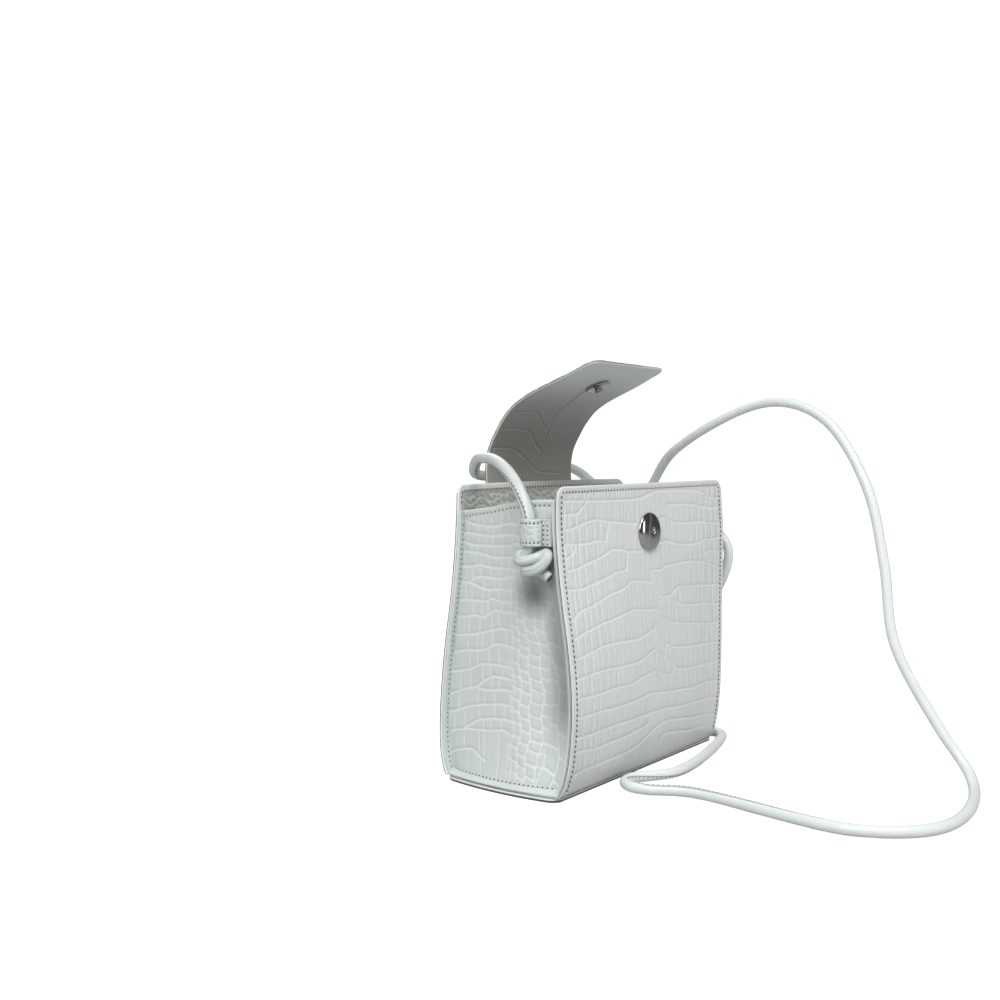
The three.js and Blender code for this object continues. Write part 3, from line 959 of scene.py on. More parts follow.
# lines between the scales: across, height
frontScales = {
    "rows": [
        [
            (-79, 157.5), (-40, 156.3), (-10, 156.3), (0, 158.5), (15, 160),
            (50, 159.2), (60, 157.5), (70, 154.3), (82, 153.6),
        ],
        [(20, 151.8), (41, 151.3), (54, 150), (70, 148), (82, 147.9)],
        [(-79, 150.3), (-67, 150.6), (-63, 153.4), (-59, 156)],
        [(-79, 142.3), (-69, 143.4), (-61, 145.3), (-50, 146.3), (-40, 145), (-30, 144), (-12, 142.3)],
        [(10, 143.4), (17, 144.4), (23.5, 141.7), (41, 140.3), (59, 139.9), (71, 138.4), (82, 139.2)],
        [(-79, 135), (-68, 134.3), (-58, 134.5), (-48, 135), (-42, 134)],
        [
            (-79, 121), (-69, 122), (-60, 123.9), (-50, 125.6), (-43, 127.4),
            (-38, 129.2), (-28, 128.8), (-22, 127.4), (-9, 126.6),
        ],
        [
            (8, 129.3), (16, 130.6), (23, 129.9), (32, 128), (40, 127.4),
            (52, 127.3), (60, 128.7), (68, 129), (82, 128.8),
        ],
        [
            (-79, 111.3), (-67, 111), (-60, 112.1), (-53, 113.1),
            (-47, 114.3), (-40, 115.6), (-35, 116.8), (-24.5, 117.3),
        ],
        [
            (1, 114.9), (12.5, 114.6), (17, 116.5), (23, 116.4), (40, 117),
            (55, 116.1), (66, 113.7), (73, 112.1), (82, 110.4),
        ],
        [
            (-79, 95.6), (-71, 99.4), (-63, 100.7), (-53, 102.7), (-42.5, 105.5),
            (-32, 106.8), (-25, 108.2), (-20.5, 110.8), (-15, 110.4), (0, 108.6),
        ],
        [
            (1, 105.6), (5, 103), (11, 99), (14.5, 98.7), (23, 99.4),
            (26, 101.3), (30.5, 102.7), (40, 102.3), (60, 101.3), (82, 99.6),
        ],
        [(25, 95.2), (32, 92.6), (43, 91), (60, 90), (82, 87.4)],
        [
            (-80, 86.2), (-69, 88.3), (-61, 89.5), (-50, 91.2), (-41, 92), (-31, 93.3),
            (-20, 94.7), (-13, 93.8), (0.5, 92.7), (6, 91.8), (9, 89.5),
        ],
        [(13, 86.8), (19.5, 83.4), (31, 81.4), (51, 79), (71, 76.5), (82, 77.6)],
        [
            (-80, 75.8), (-71, 76.8), (-60, 78.3), (-51, 79.3), (-38, 79.2),
            (-26, 78.6), (-16.5, 78.2), (-9, 79.5), (1, 81.6),
        ],
        [(15, 71.2), (25, 68), (39, 66.4), (60, 65), (82, 63.6)],
        [
            (-80, 65.4), (-70, 66.1), (-59, 66.5), (-48, 66.4), (-39, 65.7),
            (-27, 65.5), (-16, 65.6), (-9, 67.3), (1, 70),
        ],
        [(3, 67.8), (17, 61), (23.5, 57.5), (26, 55.4), (39, 53.4), (60, 52.5), (82, 51.7)],
        [(-80, 55.3), (-58, 54.7), (-50, 55), (-40, 55.1), (-26, 54.4), (-16, 55.9), (0, 57.6)],
        [(3, 57.2), (9, 54.5), (15, 53), (20, 53.2), (23.5, 56)],
        [
            (-80, 45.3), (-58, 45.3), (-40, 44.4), (-20, 44.5), (-5, 45.5), (5, 44.6),
            (20, 42.8), (37, 41.5), (47, 40.5), (67, 41), (83, 38.7),
        ],
        [
            (-80, 35), (-60, 34.5), (-41, 34.7), (-24, 34.3), (-7, 34.3),
            (13, 33.6), (36, 31.5), (61, 30.7), (83, 28.2),
        ],
        [
            (-80, 27.9), (-60, 25.7), (-48, 26), (-36, 26), (-25, 26.3),
            (-15, 27.4), (-9.5, 27.6), (-4.5, 29.5), (-2, 33),
        ],
        [
            (-80, 14.8), (-71, 16), (-58, 15.9), (-38, 16), (-20, 17), (-8.5, 20),
            (4, 24.6), (14, 26.1), (25, 25.1), (47, 22), (83, 17.8),
        ],
        [(9, 14), (11, 15.8), (15, 18.5), (30.5, 16.8), (47, 14), (66, 13)],
    ],
    "links": [
        [(-39, 144), (-40.5, 139), (-42, 134)],
        [(1, 115), (0.6, 110), (1, 105.6)],
        [(2.6, 84), (3, 70), (3.4, 58)],
        [(-22, 127), (-23, 122), (-24.5, 117.3)],
        [(-79, 127.5), (-73, 129.5), (-70, 133.8)],
        [(12.5, 63), (13.2, 68), (15, 71.2)],
        [(62, 119), (64, 121.5), (72, 121.6), (82, 119.5)],
    ],
}
addPanel("front_panel_leather", frontY, 1, panelLook, frontScales, "front_panel")
print("front panel done")

backScales = {
    "rows": [
        [(-81, 151), (-60, 150), (-30, 152), (0, 155), (25, 152), (52, 150), (80, 146)],
        [(-81, 140), (-55, 141), (-20, 146), (5, 147), (30, 142), (60, 140), (82, 140)],
        [(-81, 130), (-66, 128.5), (-48, 131), (-20, 134), (8, 137), (40, 127), (68, 128.4), (82, 127)],
        [(-81, 121), (-50, 124.7), (-20, 127), (4, 125), (20, 118), (68, 121), (82, 118)],
        [
            (-81, 110), (-69, 111), (-50, 114), (-24, 117), (0, 117),
            (12, 113), (48, 115), (66, 114.6), (82, 110),
        ],
        [
            (-81, 101), (-70, 98), (-57, 102), (-38, 105.6), (-21, 110), (-6, 111),
            (4, 103), (10, 99.4), (20, 99.2), (30, 93.3), (44, 91), (82, 88.8),
        ],
        [(32, 102.2), (56, 102.2), (82, 99.4)],
        [
            (-82, 86), (-69, 87.6), (-46, 92), (-21, 95), (-7, 92.7), (3, 92.7),
            (10, 86.5), (20, 82.6), (38, 79.8), (74, 76.4), (82, 69.7),
        ],
        [
            (-82, 75.8), (-66, 77.5), (-46, 79.2), (-21, 78.7), (-9, 80.9), (-2, 82.6),
            (3, 79.8), (8, 78), (13, 71.3), (19, 69.7), (43, 66.9), (82, 65.2),
        ],
        [
            (-82, 64), (-55, 65.7), (-23, 64.6), (-12, 67.4), (-2, 70.2), (6, 66.9),
            (11, 61.8), (17, 59), (22, 55.6), (36, 53.9), (82, 52.8),
        ],
        [(-82, 53.9), (-32, 53.4), (-15, 56.2), (-3, 58.4), (7, 54.5), (20, 52.6)],
        [(-82, 44.4), (-32, 43.8), (-3, 45.5), (25, 42.7), (82, 41)],
        [(-82, 34.3), (-21, 34.8), (-10, 34.7)],
        [(13, 33.7), (64, 31.5), (82, 31)],
        [(-82, 24.5), (-44, 25.3), (-11, 27.4)],
        [(-2, 23.6), (14, 26), (64, 23.6), (82, 23)],
        [(-82, 14.6), (-44, 15.2), (-16, 18), (-2, 23.6)],
        [(14, 18.6), (64, 16.3), (82, 16)],
        [(-82, 6.7), (-32, 7.3), (-10, 10), (2, 14), (20, 9), (64, 6.2)],
    ],
}
# the back panel's inner strip takes the flap's painted shadow
backLook = dict(panelLook, pitch=0.66, seamInset=3.8, seamTop=3.5, strip=3.3, dim=0.32)
addPanel("back_panel_leather", backY, -1, backLook, backScales, "back_panel")
print("back panel done")

# grid pitches are in mm along the depth and in shares of the half width across
baseLook = {
    "thick": 2.1,
    "front": -38,
    "back": 38.5,
    "bow": 4,
    "corner": 6,
    "lip": 0.9,
    "overDrop": 0.35,
    "underDrop": 1.35,
    "pitch": 1.5,
    "acrossPitch": 0.02,
    "acrossLip": 0.012,
}


def baseEnd(y):
    middle = (baseLook["front"] + baseLook["back"]) / 2
    deep = (baseLook["back"] - baseLook["front"]) / 2
    return bag["halfWidth"] + baseLook["bow"] * (1 - ((y - middle) / deep) ** 2)


# one face of the base: lift is 1 for the upper one, -1 for the under one
def basePoints(level, lift, edgeDeep):
    deep = baseLook["back"] - baseLook["front"]
    up = steps(deep, baseLook["pitch"], baseLook["lip"]) + baseLook["front"]
    across = steps(2, baseLook["acrossPitch"], baseLook["acrossLip"]) - 1
    u, y = np.meshgrid(across * lift, up)
    edgeY = np.minimum(y - baseLook["front"], baseLook["back"] - y)
    half = baseEnd(y) - cornerInset(edgeY, baseLook["corner"])
    x = half * u
    edge = np.minimum(half - np.abs(x), edgeY)
    return np.stack([x, y, level - lift * edgeDrop(edge, baseLook["lip"], edgeDeep)], 2)


def addBase(look):
    # the underside takes the near-black painted shade
    under = layGrid("base_leather", basePoints(0, -1, look["underDrop"]), "sole")
    over = layGrid("base_over", basePoints(look["thick"], 1, look["overDrop"]), "white")
    joinPieces(under, over)
    closeRim(under, "white")
    belongs(under, "leather", "base")


addBase(baseLook)
print("base done")

sideWall = {
    "thick": 1.5,
    "gap": 0.3,
    "flange": 6,
    "flangeEdge": 0.6,
    "flangeSteps": 8,
    "hemTall": 3,
    "hemExtra": 0.38,
    "hemSeam": 3.2,
    "hemShare": [0, 0.3, 0.55, 0.8, 1],
    "hemZ": [150.8, 153.2, 156.2, 157.9, 158.2],
    "share": [0, 0.1, 0.25, 0.42, 0.58, 0.7, 0.8, 0.9, 1],
    "z": [3.1, 12, 24, 40, 60, 82, 104, 124, 141, 158],
    # how far the wall lies inside the panel's side edge: a row for each z, a column for each share
    "inset": [
        [6, 2.6, 0.2, -1.2, -1.2, -0.4, 0.8, 2.8, 6],
        [6, 3.4, 1.6, 0.6, 0.6, 1.6, 3.4, 6, 7],
        [6, 4, 2.6, 1.8, 1.8, 3.6, 6.8, 9.6, 9],
        [6, 4.4, 3.2, 2.4, 2.8, 5.8, 9.6, 12, 10.5],
        [6, 4.6, 3.6, 3, 3.8, 7, 10.4, 12.6, 10.5],
        [6, 4.8, 4, 3.6, 4.4, 6.8, 9.6, 11.6, 9.6],
        [6, 5, 4.4, 4, 4.2, 5.4, 7.4, 9.6, 8.6],
        [6, 5, 4.4, 3.9, 3.6, 3.8, 4.8, 7, 7.4],
        [6, 5, 4.2, 3.7, 3.3, 3.3, 3.4, 4.6, 6.4],
        [6, 5, 4.4, 4, 3.6, 3.5, 3.5, 4.2, 6],
    ],
    "pitch": 0.6,
    "innerEvery": (5, 4),
    "deepMm": 80,
    "tallMm": 150,
    "footZ": 6.2,
    "footRows": 8,
    "footReach": (-36, 37),
    "footIn": 1.1,
    "lip": 0.8,
    "lipDeep": 0.5,
    "grooveDeep": 0.34,
    "splitPitch": 7.2,
    # small scales on the ridge, larger ones in the valley, both on the lower wall
    "ridgeShare": 0.60,
    "ridgeZ": 110,
    "ridgeLean": 0.0006,
    "valleyShare": (0.76, 0.83),
    "smallScale": (4.9, 6.4),
    "largeScale": (7.2, 11.5),
    "scalesBelow": (126, 108),
    # painted shade beside the grooves, the knot's painted shadow and painted shade in the valley
    "flankShade": 0.12,
    "knotShadow": {"at": (0.73, 108), "wide": (0.15, 11.5), "dark": 0.9},
    "valleyShade": 0.56,
    "stitch": {"hole": (1.25, 0.85, 0.36)},
}
# lines between the scales: share of the depth from the back, height
sideScales = [
    [(0.06, 145), (0.15, 143.6), (0.35, 142.9), (0.55, 145)],
    [(0, 138.3), (0.1, 138.9), (0.3, 137.8), (0.55, 138.9)],
    [(0, 134.9), (0.1, 132.7), (0.3, 132.5), (0.5, 133), (0.6, 134.4)],
    [(0, 128.5), (0.2, 128.2), (0.3, 127), (0.4, 126.3), (0.5, 126.8), (0.6, 126)],
    [(0, 120), (0.15, 120.8), (0.22, 121.8), (0.3, 121), (0.4, 120.7), (0.55, 120.5)],
    [
        (0, 111.7), (0.1, 111.6), (0.17, 114.4), (0.25, 115.3),
        (0.35, 115), (0.45, 115), (0.52, 116.2), (0.6, 116),
    ],
    [(0.1, 111.6), (0.2, 110), (0.3, 108.4), (0.4, 109.2), (0.55, 108.6)],
    [(0, 101), (0.1, 101.7), (0.2, 101.9), (0.3, 102), (0.35, 103.9), (0.42, 102.8), (0.55, 102)],
    [(0, 91.8), (0.1, 92.4), (0.2, 93.6), (0.28, 93), (0.35, 96.3), (0.4, 97.8), (0.46, 97), (0.55, 97)],
    [(0, 81.1), (0.1, 82), (0.25, 84.1), (0.35, 86.2), (0.45, 88), (0.55, 87)],
    [(0, 70.3), (0.05, 72.1), (0.15, 73.8), (0.25, 74.5), (0.32, 75.9), (0.4, 79.2), (0.5, 79)],
    [(0, 60.2), (0.1, 61.8), (0.2, 64), (0.27, 67), (0.35, 67.9), (0.5, 67.9)],
    [
        (0, 47.3), (0.1, 50.5), (0.2, 53.4), (0.25, 54.6),
        (0.3, 57.3), (0.35, 60.1), (0.4, 61.6), (0.5, 61.5),
    ],
    [(0.25, 54.6), (0.3, 53.6), (0.4, 54.2), (0.5, 55.4)],
    [(0, 36.9), (0.1, 39.7), (0.2, 42.9), (0.3, 45), (0.4, 46.4), (0.5, 47.4)],
    [(0, 25.8), (0.1, 28.7), (0.15, 29.7), (0.2, 32.2), (0.28, 36.1), (0.35, 37.8), (0.5, 39.4)],
    [(0.15, 29.7), (0.25, 30.7), (0.4, 31.9), (0.5, 33.3), (0.6, 31)],
    [(0, 13.9), (0.1, 17.2), (0.2, 19.4), (0.26, 19.3), (0.3, 17), (0.36, 15)],
]


def wallInset(share, z):
    columns = np.array([curve(sideWall["z"], column, z) for column in np.array(sideWall["inset"]).T])
    last = len(sideWall["share"]) - 1
    place = np.interp(share, sideWall["share"], np.arange(last + 1))
    i = np.clip(np.floor(place).astype(int), 0, last - 1)
    t = place - i
    near = [np.take_along_axis(columns, np.clip(i + step, 0, last)[None], 0)[0] for step in (-1, 0, 1, 2)]
    before, here, there, after = near
    rise = t * t * (t - 1) * (after - here) / 2 + t * (t - 1) ** 2 * (there - before) / 2
    return here + (there - here) * smooth(t) + rise


# the foot turns out over the base
def wallFoot(foot, side, onFlange):
    look = sideWall
    out = side * (baseEnd(np.clip(foot[:, 1], *look["footReach"])) - look["footIn"])
    low = bag["bottom"] + look["thick"] / 2
    rows = []
    for t in np.linspace(0, 1, look["footRows"], endpoint=False):
        bulge = 1 - t ** 1.6
        x = np.where(onFlange, foot[:, 0], out + (foot[:, 0] - out) * (1 - bulge ** 1.5))
        level = low + (look["footZ"] - low) * (1 - bulge ** 1.1)
        rows.append(np.stack([x, foot[:, 1], 0 * x + level], 1))
    return np.array(rows)


# rounds the bends between the flanges and the wall
def easeFlanges(points, flangeSteps):
    turn = np.zeros(points.shape[1])
    turn[flangeSteps - 3:flangeSteps + 4] = 1
    turn[-flangeSteps - 4:-flangeSteps + 3] = 1
    for _ in range(3):
        eased = (points[:, :-2] + 2 * points[:, 1:-1] + points[:, 2:]) / 4
        points[:, 1:-1] += (eased - points[:, 1:-1]) * turn[None, 1:-1, None]


# the wall's middle skin from the back flange to the front flange, rows from the foot up
def wallPoints(side):
    look = sideWall
    reach = bag["thick"] + look["gap"] + look["thick"] / 2
    strip = np.linspace(look["flangeEdge"], look["flange"], look["flangeSteps"], endpoint=False)
    shares = np.linspace(0, 1, int(look["deepMm"] / look["pitch"]))
    share = np.concatenate([0 * strip, shares, 0 * strip + 1])
    flange = np.concatenate([strip, 0 * shares, strip[::-1]])
    onFlange = flange > 0
    hem = curve(look["hemShare"], look["hemZ"], share)
    rise = steps(1, look["pitch"] / look["tallMm"], bag["lip"] / look["tallMm"])
    s, v = np.meshgrid(share, rise)
    z = look["footZ"] + v * (hem[None, :] - look["footZ"])
    inset = np.where(onFlange[None, :], flange[None, :], wallInset(s, z))
    x = side * (bag["halfWidth"] - inset)
    front = frontY(x, z) + acrossY(frontY, x, z, reach)
    back = backY(x, z) - acrossY(backY, x, z, reach)
    points = np.stack([x, back + (front - back) * s, z], 2)
    points = np.concatenate([wallFoot(points[0], side, onFlange), points])
    easeFlanges(points, look["flangeSteps"])
    s = np.vstack([np.repeat(share[None], look["footRows"], 0), s])
    footBelow = np.full((look["footRows"], len(share)), float(look["tallMm"]))
    below = np.vstack([footBelow, (1 - v) * (hem[None, :] - look["footZ"])])
    normal = normalsOf(points)
    facing = np.sign(normal[len(normal) // 2, normal.shape[1] // 2, 0] * side)
    return points, normal * facing, s, below, onFlange


# grooves of the side wall: long rows at the back, small scales on the ridge, larger ones in the valley,
# with painted shade beside them
def wallGrooves(s, z):
    look = sideWall
    deep = look["deepMm"]
    u = s * deep
    rows = [[(a * deep, b) for a, b in line] for line in sideScales]
    # rows that come near the ridge run on to it
    for line in rows:
        if line[-1][0] > 0.45 * deep:
            line.append((0.66 * deep, line[-1][1] - 2))
    away = awayFromLines(u, z, rows, bag["scaleReach"])
    split = awayFromSplits(u + 0.06 * z, rowOf(u, z, rows), look["splitPitch"], 6)
    ridgeAt = look["ridgeShare"] + look["ridgeLean"] * (look["ridgeZ"] - z)
    small = awayFromBricks(u - ridgeAt * deep + 80, z + 0.35 * (u - 48), *look["smallScale"], 8)
    large = awayFromBricks(u + 0.10 * z, z + 0.55 * (u - 70), *look["largeScale"], 21)
    low = ramp(z, *look["scalesBelow"])
    onRidge = ramp(s, ridgeAt - 0.15, ridgeAt - 0.03) * low
    inValley = ramp(s, *look["valleyShare"]) * low

    def blend(ofRows, ofSmall, ofLarge):
        return (1 - onRidge) * ofRows + onRidge * ((1 - inValley) * ofSmall + inValley * ofLarge)

    long = np.maximum(bell(away, 0.58), 0.62 * bell(split, 0.48))
    groove = blend(long, 0.85 * bell(small, 0.36), 0.9 * bell(large, 0.45))
    longTile = pillow(np.minimum(away, split + 0.5), 3)
    tile = blend(0.16 * longTile, 0.2 * pillow(small, 1.8), 0.22 * pillow(large, 2.6))
    longFlank = np.maximum(bell(away - 1.2, 0.5), 0.7 * bell(split - 1.1, 0.45))
    flankShade = blend(longFlank, bell(small - 0.9, 0.4), bell(large - 1, 0.45))
    return groove, tile, look["flankShade"] * flankShade * (1 - groove)


# painted shade: the knot's painted shadow below it, the dimmer valley beside it, and a darker upper wall
# and ridge
def wallShade(s, z):
    knotShadowLook = sideWall["knotShadow"]
    at, level = knotShadowLook["at"]
    wide, tall = knotShadowLook["wide"]
    knotShadow = knotShadowLook["dark"] * bell(s - at, wide) * bell(z - level, tall)
    valley = sideWall["valleyShade"] * ramp(s, 0.72, 0.88) * ramp(z, 18, 52) * ramp(z, 146, 126)
    upper = 0.05 * ramp(z, 25, 75) + 0.07 * ramp(z, 90, 150) + 0.06 * bell(s - 0.56, 0.14)
    return np.maximum(np.maximum(knotShadow, valley), upper)


def addGusset(word, side):
    look = sideWall
    name = "gusset_" + word
    points, normal, s, below, onFlange = wallPoints(side)
    z = points[..., 2]
    half = look["thick"] / 2
    groove, tile, flankShade = wallGrooves(s, z)
    plain = ramp(below, 4.2, 6.2) * ramp(z, 6.4, 9) * np.where(onFlange, 0.25, 1)[None, :]
    groove = groove * plain
    onWall = (~onFlange)[None, :]
    hemHalf = look["hemTall"] / 2
    roll = np.sqrt(np.maximum(1 - ((below - hemHalf) / hemHalf) ** 2, 0)) * onWall
    sewn = bell(below - look["hemSeam"], 0.6) * onWall
    height = (tile - look["grooveDeep"] * groove) * plain + look["hemExtra"] * roll - 0.2 * sewn
    drop = edgeDrop(below, look["lip"], look["lipDeep"])
    outside = points + normal * (half + height - drop)[..., None]
    # painted shade from wallShade and beside the grooves
    marks = {"groove": groove, "paintedShade": np.maximum(wallShade(s, z), flankShade * plain)}
    outer = layGrid(name + "_leather", outside, "side", marks)

    # the inner face takes only some of the rows and columns
    everyRow, everyColumn = look["innerEvery"]
    rows, columns = groove.shape
    rowsIn = np.unique(np.r_[0:rows:everyRow, rows - 5:rows])
    columnsIn = np.unique(np.r_[0:columns:everyColumn, columns - 1])
    inside = (points - normal * (half - drop)[..., None])[rowsIn][:, columnsIn]
    inner = layGrid("gusset_inside", inside, "inner")
    paintFaces(inner, faceLow(below[rowsIn][:, columnsIn]) < 1.1, "side")
    joinPieces(outer, inner)
    closeRim(outer, "side")
    belongs(outer, "leather", name)

    # stitch runs: below the hem, down the back flange, along the foot
    skin = points + normal * (half + 0.02)
    wall = np.nonzero(~onFlange)[0]
    level = np.argmin(np.abs(below - look["hemSeam"]), axis=0)
    flangeColumn = 4
    footRow = look["footRows"] + 1
    down = slice(footRow + 1, level[flangeColumn] - 2)
    runs = [
        ((skin - 0.1 * normal)[level[wall], wall], normal[level[wall], wall]),
        (skin[down, flangeColumn], normal[down, flangeColumn]),
        (skin[footRow, wall[6:-6]], normal[footRow, wall[6:-6]]),
    ]
    sew(name + "_stitching", runs, **look["stitch"])


addGusset("left", -1)
addGusset("right", 1)
print("side walls done")

flapLook = {
    "half": 43,
    "thick": 1.8,
    "corner": 7,
    "shift": -3,
    "twist": 5,
    "twistFrom": 0.62,
    "lapBottom": 128,
    "gap": 0.3,
    "pitch": 0.6,
    "lip": 1.2,
    "lap": [0, 7, 17, 27, 35],
    # the free leather from the panel's top to its end, and how far its middle bows
    "y": [40.3, 39.9, 38.2, 34, 29.6, 22.4, 15.2, 5, -7, -20, -33],
    "z": [171, 177.5, 185, 193, 200, 208, 212.8, 217.6, 222, 227, 232.4],
    "camber": [2.4, 1.9, 1.3, 0.8, 0.5, 0.3, 0.2, 0.1, 0, 0, 0],
    "seamInset": 3.6,
    "sewnWide": 0.75,
    "grooveWide": 0.66,
    "grooveDeep": 0.42,
    "splitPitch": 7.4,
    "splitWide": 0.55,
    "pillow": 0.24,
    "foldWide": 0.6,
    "foldDeep": 0.34,
    "ribPitch": 3.1,
    # where the painted sheen on the underside begins and where it is full
    "paintedLightSpan": (30, 96),
    "paintedEdge": 0.3,
}
# lines between the outer scales: across, distance from the free end
flapScales = [
    [
        (-43, 40), (-22, 42.3), (-3.7, 44.4), (0.6, 46), (3.7, 46.7),
        (5.5, 49.5), (18.9, 51.5), (29.9, 52.8), (43, 52.8),
    ],
    [
        (-43, 31.2), (-22, 32.9), (-5.5, 34.6), (4.9, 36.2), (6.7, 37.6),
        (17.7, 40), (25, 42.7), (29.9, 43.7), (43, 44.7),
    ],
    [(24.4, 39.3), (27.4, 34.6), (30.5, 34.2), (43, 35.2)],
    [(-43, 20), (-18.9, 20.7), (-10.4, 21.3), (6.1, 21.2)],
    [(7, 23.7), (11.6, 23), (19.5, 25.7), (25, 26.8), (30.5, 24), (43, 23.7)],
    [(-43, 9.5), (-32.3, 9.8), (-28, 6.8), (-18.9, 6.4), (0.6, 4.9)],
    [(8.5, 9.5), (18.9, 11.5), (24.4, 12.2), (43, 12.2)],
    [(-43, 50.5), (-18, 52), (-3, 53.5), (4, 53.5)],
    [(-43, 62), (-14, 63), (8, 66), (43, 64)],
    [(-43, 74), (-8, 77), (20, 75), (43, 78)],
    [(-43, 87), (-20, 86), (6, 90), (43, 89)],
    [(-43, 99), (0, 102), (43, 100)],
    [(-43, 112), (-10, 112), (14, 115), (43, 112)],
    [(-43, 124), (6, 126), (43, 125)],
]
# inner grooves: across, distance along from the panel's top
flapFolds = [
    [(-40, 22.7), (-30.4, 22.7), (-18.3, 21.5), (-3.9, 15.5), (8.1, 8.3), (22, 6.5), (34, 5.9)],
    [(-40.6, 35.3), (-23.8, 35.3), (-12.9, 34.1), (-7.5, 31.7), (0.3, 25.7), (9.9, 20.3)],
    [(-38.8, 47.3), (-26.8, 47.9), (-17.1, 47.9), (-3.9, 40.1), (5.7, 34.7)],
    [(8.1, 28.7), (5.7, 37.1), (2.7, 48.5), (3.3, 60.5), (-0.9, 75)],
]


def flapLine():
    lap = np.array(flapLook["lap"]) + flapLook["lapBottom"]
    half = flapLook["half"]
    rise = flapLook["gap"] + flapLook["thick"] / 2
    lapY = backY(half, lap) + acrossY(backY, half, lap, rise)
    lapCamber = backY(0, lap) - backY(half, lap)
    y = np.concatenate([lapY, flapLook["y"]])
    z = np.concatenate([lap, flapLook["z"]])
    camber = np.concatenate([lapCamber, flapLook["camber"]])
    length = np.concatenate([[0], np.cumsum(np.hypot(np.diff(y), np.diff(z)))])
    return length, y, z, camber


# the middle skin, the distances across, along and to the edge, the length, and where it comes free
def flapPoints(facing):
    length, y, z, camber = flapLine()
    whole = length[-1]
    freeAt = length[len(flapLook["lap"]) - 1]
    along = steps(whole, flapLook["pitch"], flapLook["lip"])
    across = steps(2 * flapLook["half"], flapLook["pitch"], flapLook["lip"]) / flapLook["half"] - 1
    u, v = np.meshgrid(across * facing, along)
    end = np.minimum(v, whole - v)
    half = flapLook["half"] - cornerInset(end, flapLook["corner"])
    free = np.clip((v - freeAt) / (whole - freeAt), 0, 1)
    x = flapLook["shift"] * (1 - free) + half * u
    twist = flapLook["twist"] * ramp(free, flapLook["twistFrom"], 1) * (1 + u) / 2
    bowed = curve(length, y, v) + curve(length, camber, v) * (1 - u * u)
    points = np.stack([x, bowed + twist, curve(length, z, v)], 2)
    edge = np.minimum(half * (1 - np.abs(u)), end)
    return points, half * u, v, edge, whole, freeAt


# stitch line round the free end: across, distance from that end
def flapSeam(whole):
    inset = flapLook["seamInset"]
    side = flapLook["half"] - inset
    turn = flapLook["corner"] - inset
    bends = np.linspace(0, math.pi / 2, 6)
    corner = [(side - turn + turn * math.cos(a), turn + inset - turn * math.sin(a)) for a in bends]
    right = [(side, whole - 4), (side, 60), *corner]
    return np.array([(-x, left) for x, left in right] + right[::-1])


def flapOuter(look):
    points, x, v, edge, whole, _ = flapPoints(-1)
    normal = normalsOf(points)
    left = whole - v
    seam = flapSeam(whole)
    away = awayFromLines(x, left, flapScales, bag["scaleReach"])
    split = awayFromSplits(x - 0.1 * left, rowOf(x, left, flapScales), look["splitPitch"], 2)
    sewn = bell(awayFromLines(x, left, [seam], bag["seamReach"]), look["sewnWide"])
    groove = np.maximum(bell(away, look["grooveWide"]), 0.85 * bell(split, look["splitWide"]))
    groove = groove * (1 - 0.8 * sewn) * ramp(edge, *bag["plainEdge"])
    tile = look["pillow"] * pillow(np.minimum(away, split), 3)
    height = tile - look["grooveDeep"] * groove - bag["sewnDeep"] * sewn
    lift = look["thick"] / 2 + (height - edgeDrop(edge, look["lip"], bag["lipDeep"]))
    marks = {"groove": groove, "reach": 0 * groove}
    outer = layGrid("flap_leather", points + normal * lift[..., None], "white", marks)

    # where the stitch line lies on the grid
    across, fromEnd = evenly(seam, stitching["traceStep"]).T
    j = np.rint(np.interp(whole - fromEnd, v[:, 0], np.arange(len(v)))).astype(int)
    i = np.rint(np.interp(-across, -x[len(x) // 2], np.arange(x.shape[1]))).astype(int)
    skin = points + normal * (look["thick"] / 2 - 0.02)
    return outer, (skin[j, i], normal[j, i])


# the edge is painted white, the inner face starts inside it
def flapUnder(look):
    points, x, v, edge, _, freeAt = flapPoints(1)
    risen = v - freeAt
    away = awayFromLines(x, risen, flapFolds, bag["scaleReach"])
    ribs = awayFromSplits(x + 0.3 * risen, np.floor(risen / 13), look["ribPitch"], 4)
    fold = bell(away, look["foldWide"]) * ramp(edge, *bag["plainEdge"])
    fold = np.maximum(fold, 0.14 * bell(ribs, 0.5))
    lift = look["thick"] / 2 - look["foldDeep"] * fold - edgeDrop(edge, look["lip"], bag["lipDeep"])
    # painted highlight on the folds, painted shade beside them, painted sheen towards the free end
    marks = {
        "groove": fold,
        "paintedShade": 0.3 * bell(away - 1, 0.5) * ramp(edge, 1, 3),
        "reach": ramp(risen, *look["paintedLightSpan"]),
    }
    under = layGrid("flap_under", points + normalsOf(points) * lift[..., None], "flapUnder", marks)
    paintFaces(under, faceLow(edge) < look["paintedEdge"], "white")
    return under


def addFlap(look):
    outer, seamRun = flapOuter(look)
    joinPieces(outer, flapUnder(look))
    closeRim(outer)
    belongs(outer, "leather", "flap")
    sew("flap_stitching", [seamRun])


addFlap(flapLook)
print("flap done")

keeperLook = {
    "x": 87.5,
    "y": -23.6,
    "top": 148.2,
    "bottom": 133.9,
    "round": 0.55,
    "halfDeep": 6.2,
    "halfOut": 4.8,
    "wall": 1.3,
    "aroundSteps": 72,
    "crown": 0.35,
    "seamIn": 2.1,
    "seamDeep": 0.42,
    "creaseSize": (4.4, 3.2),
    "creaseDeep": 0.2,
    "tailThick": 2.4,
    "tailLong": 6.4,
    "tailBevel": 0.6,
    "tailSink": 0.3,
    "tailRows": (-1.1, 1.6),
    "turn": 0.12,
    "seamBend": (-1.25, 1.05),
    "seamSink": 0.1,
    "stitch": {"pitch": 2.3, "hole": (1.3, 0.8, 0.36)},
}


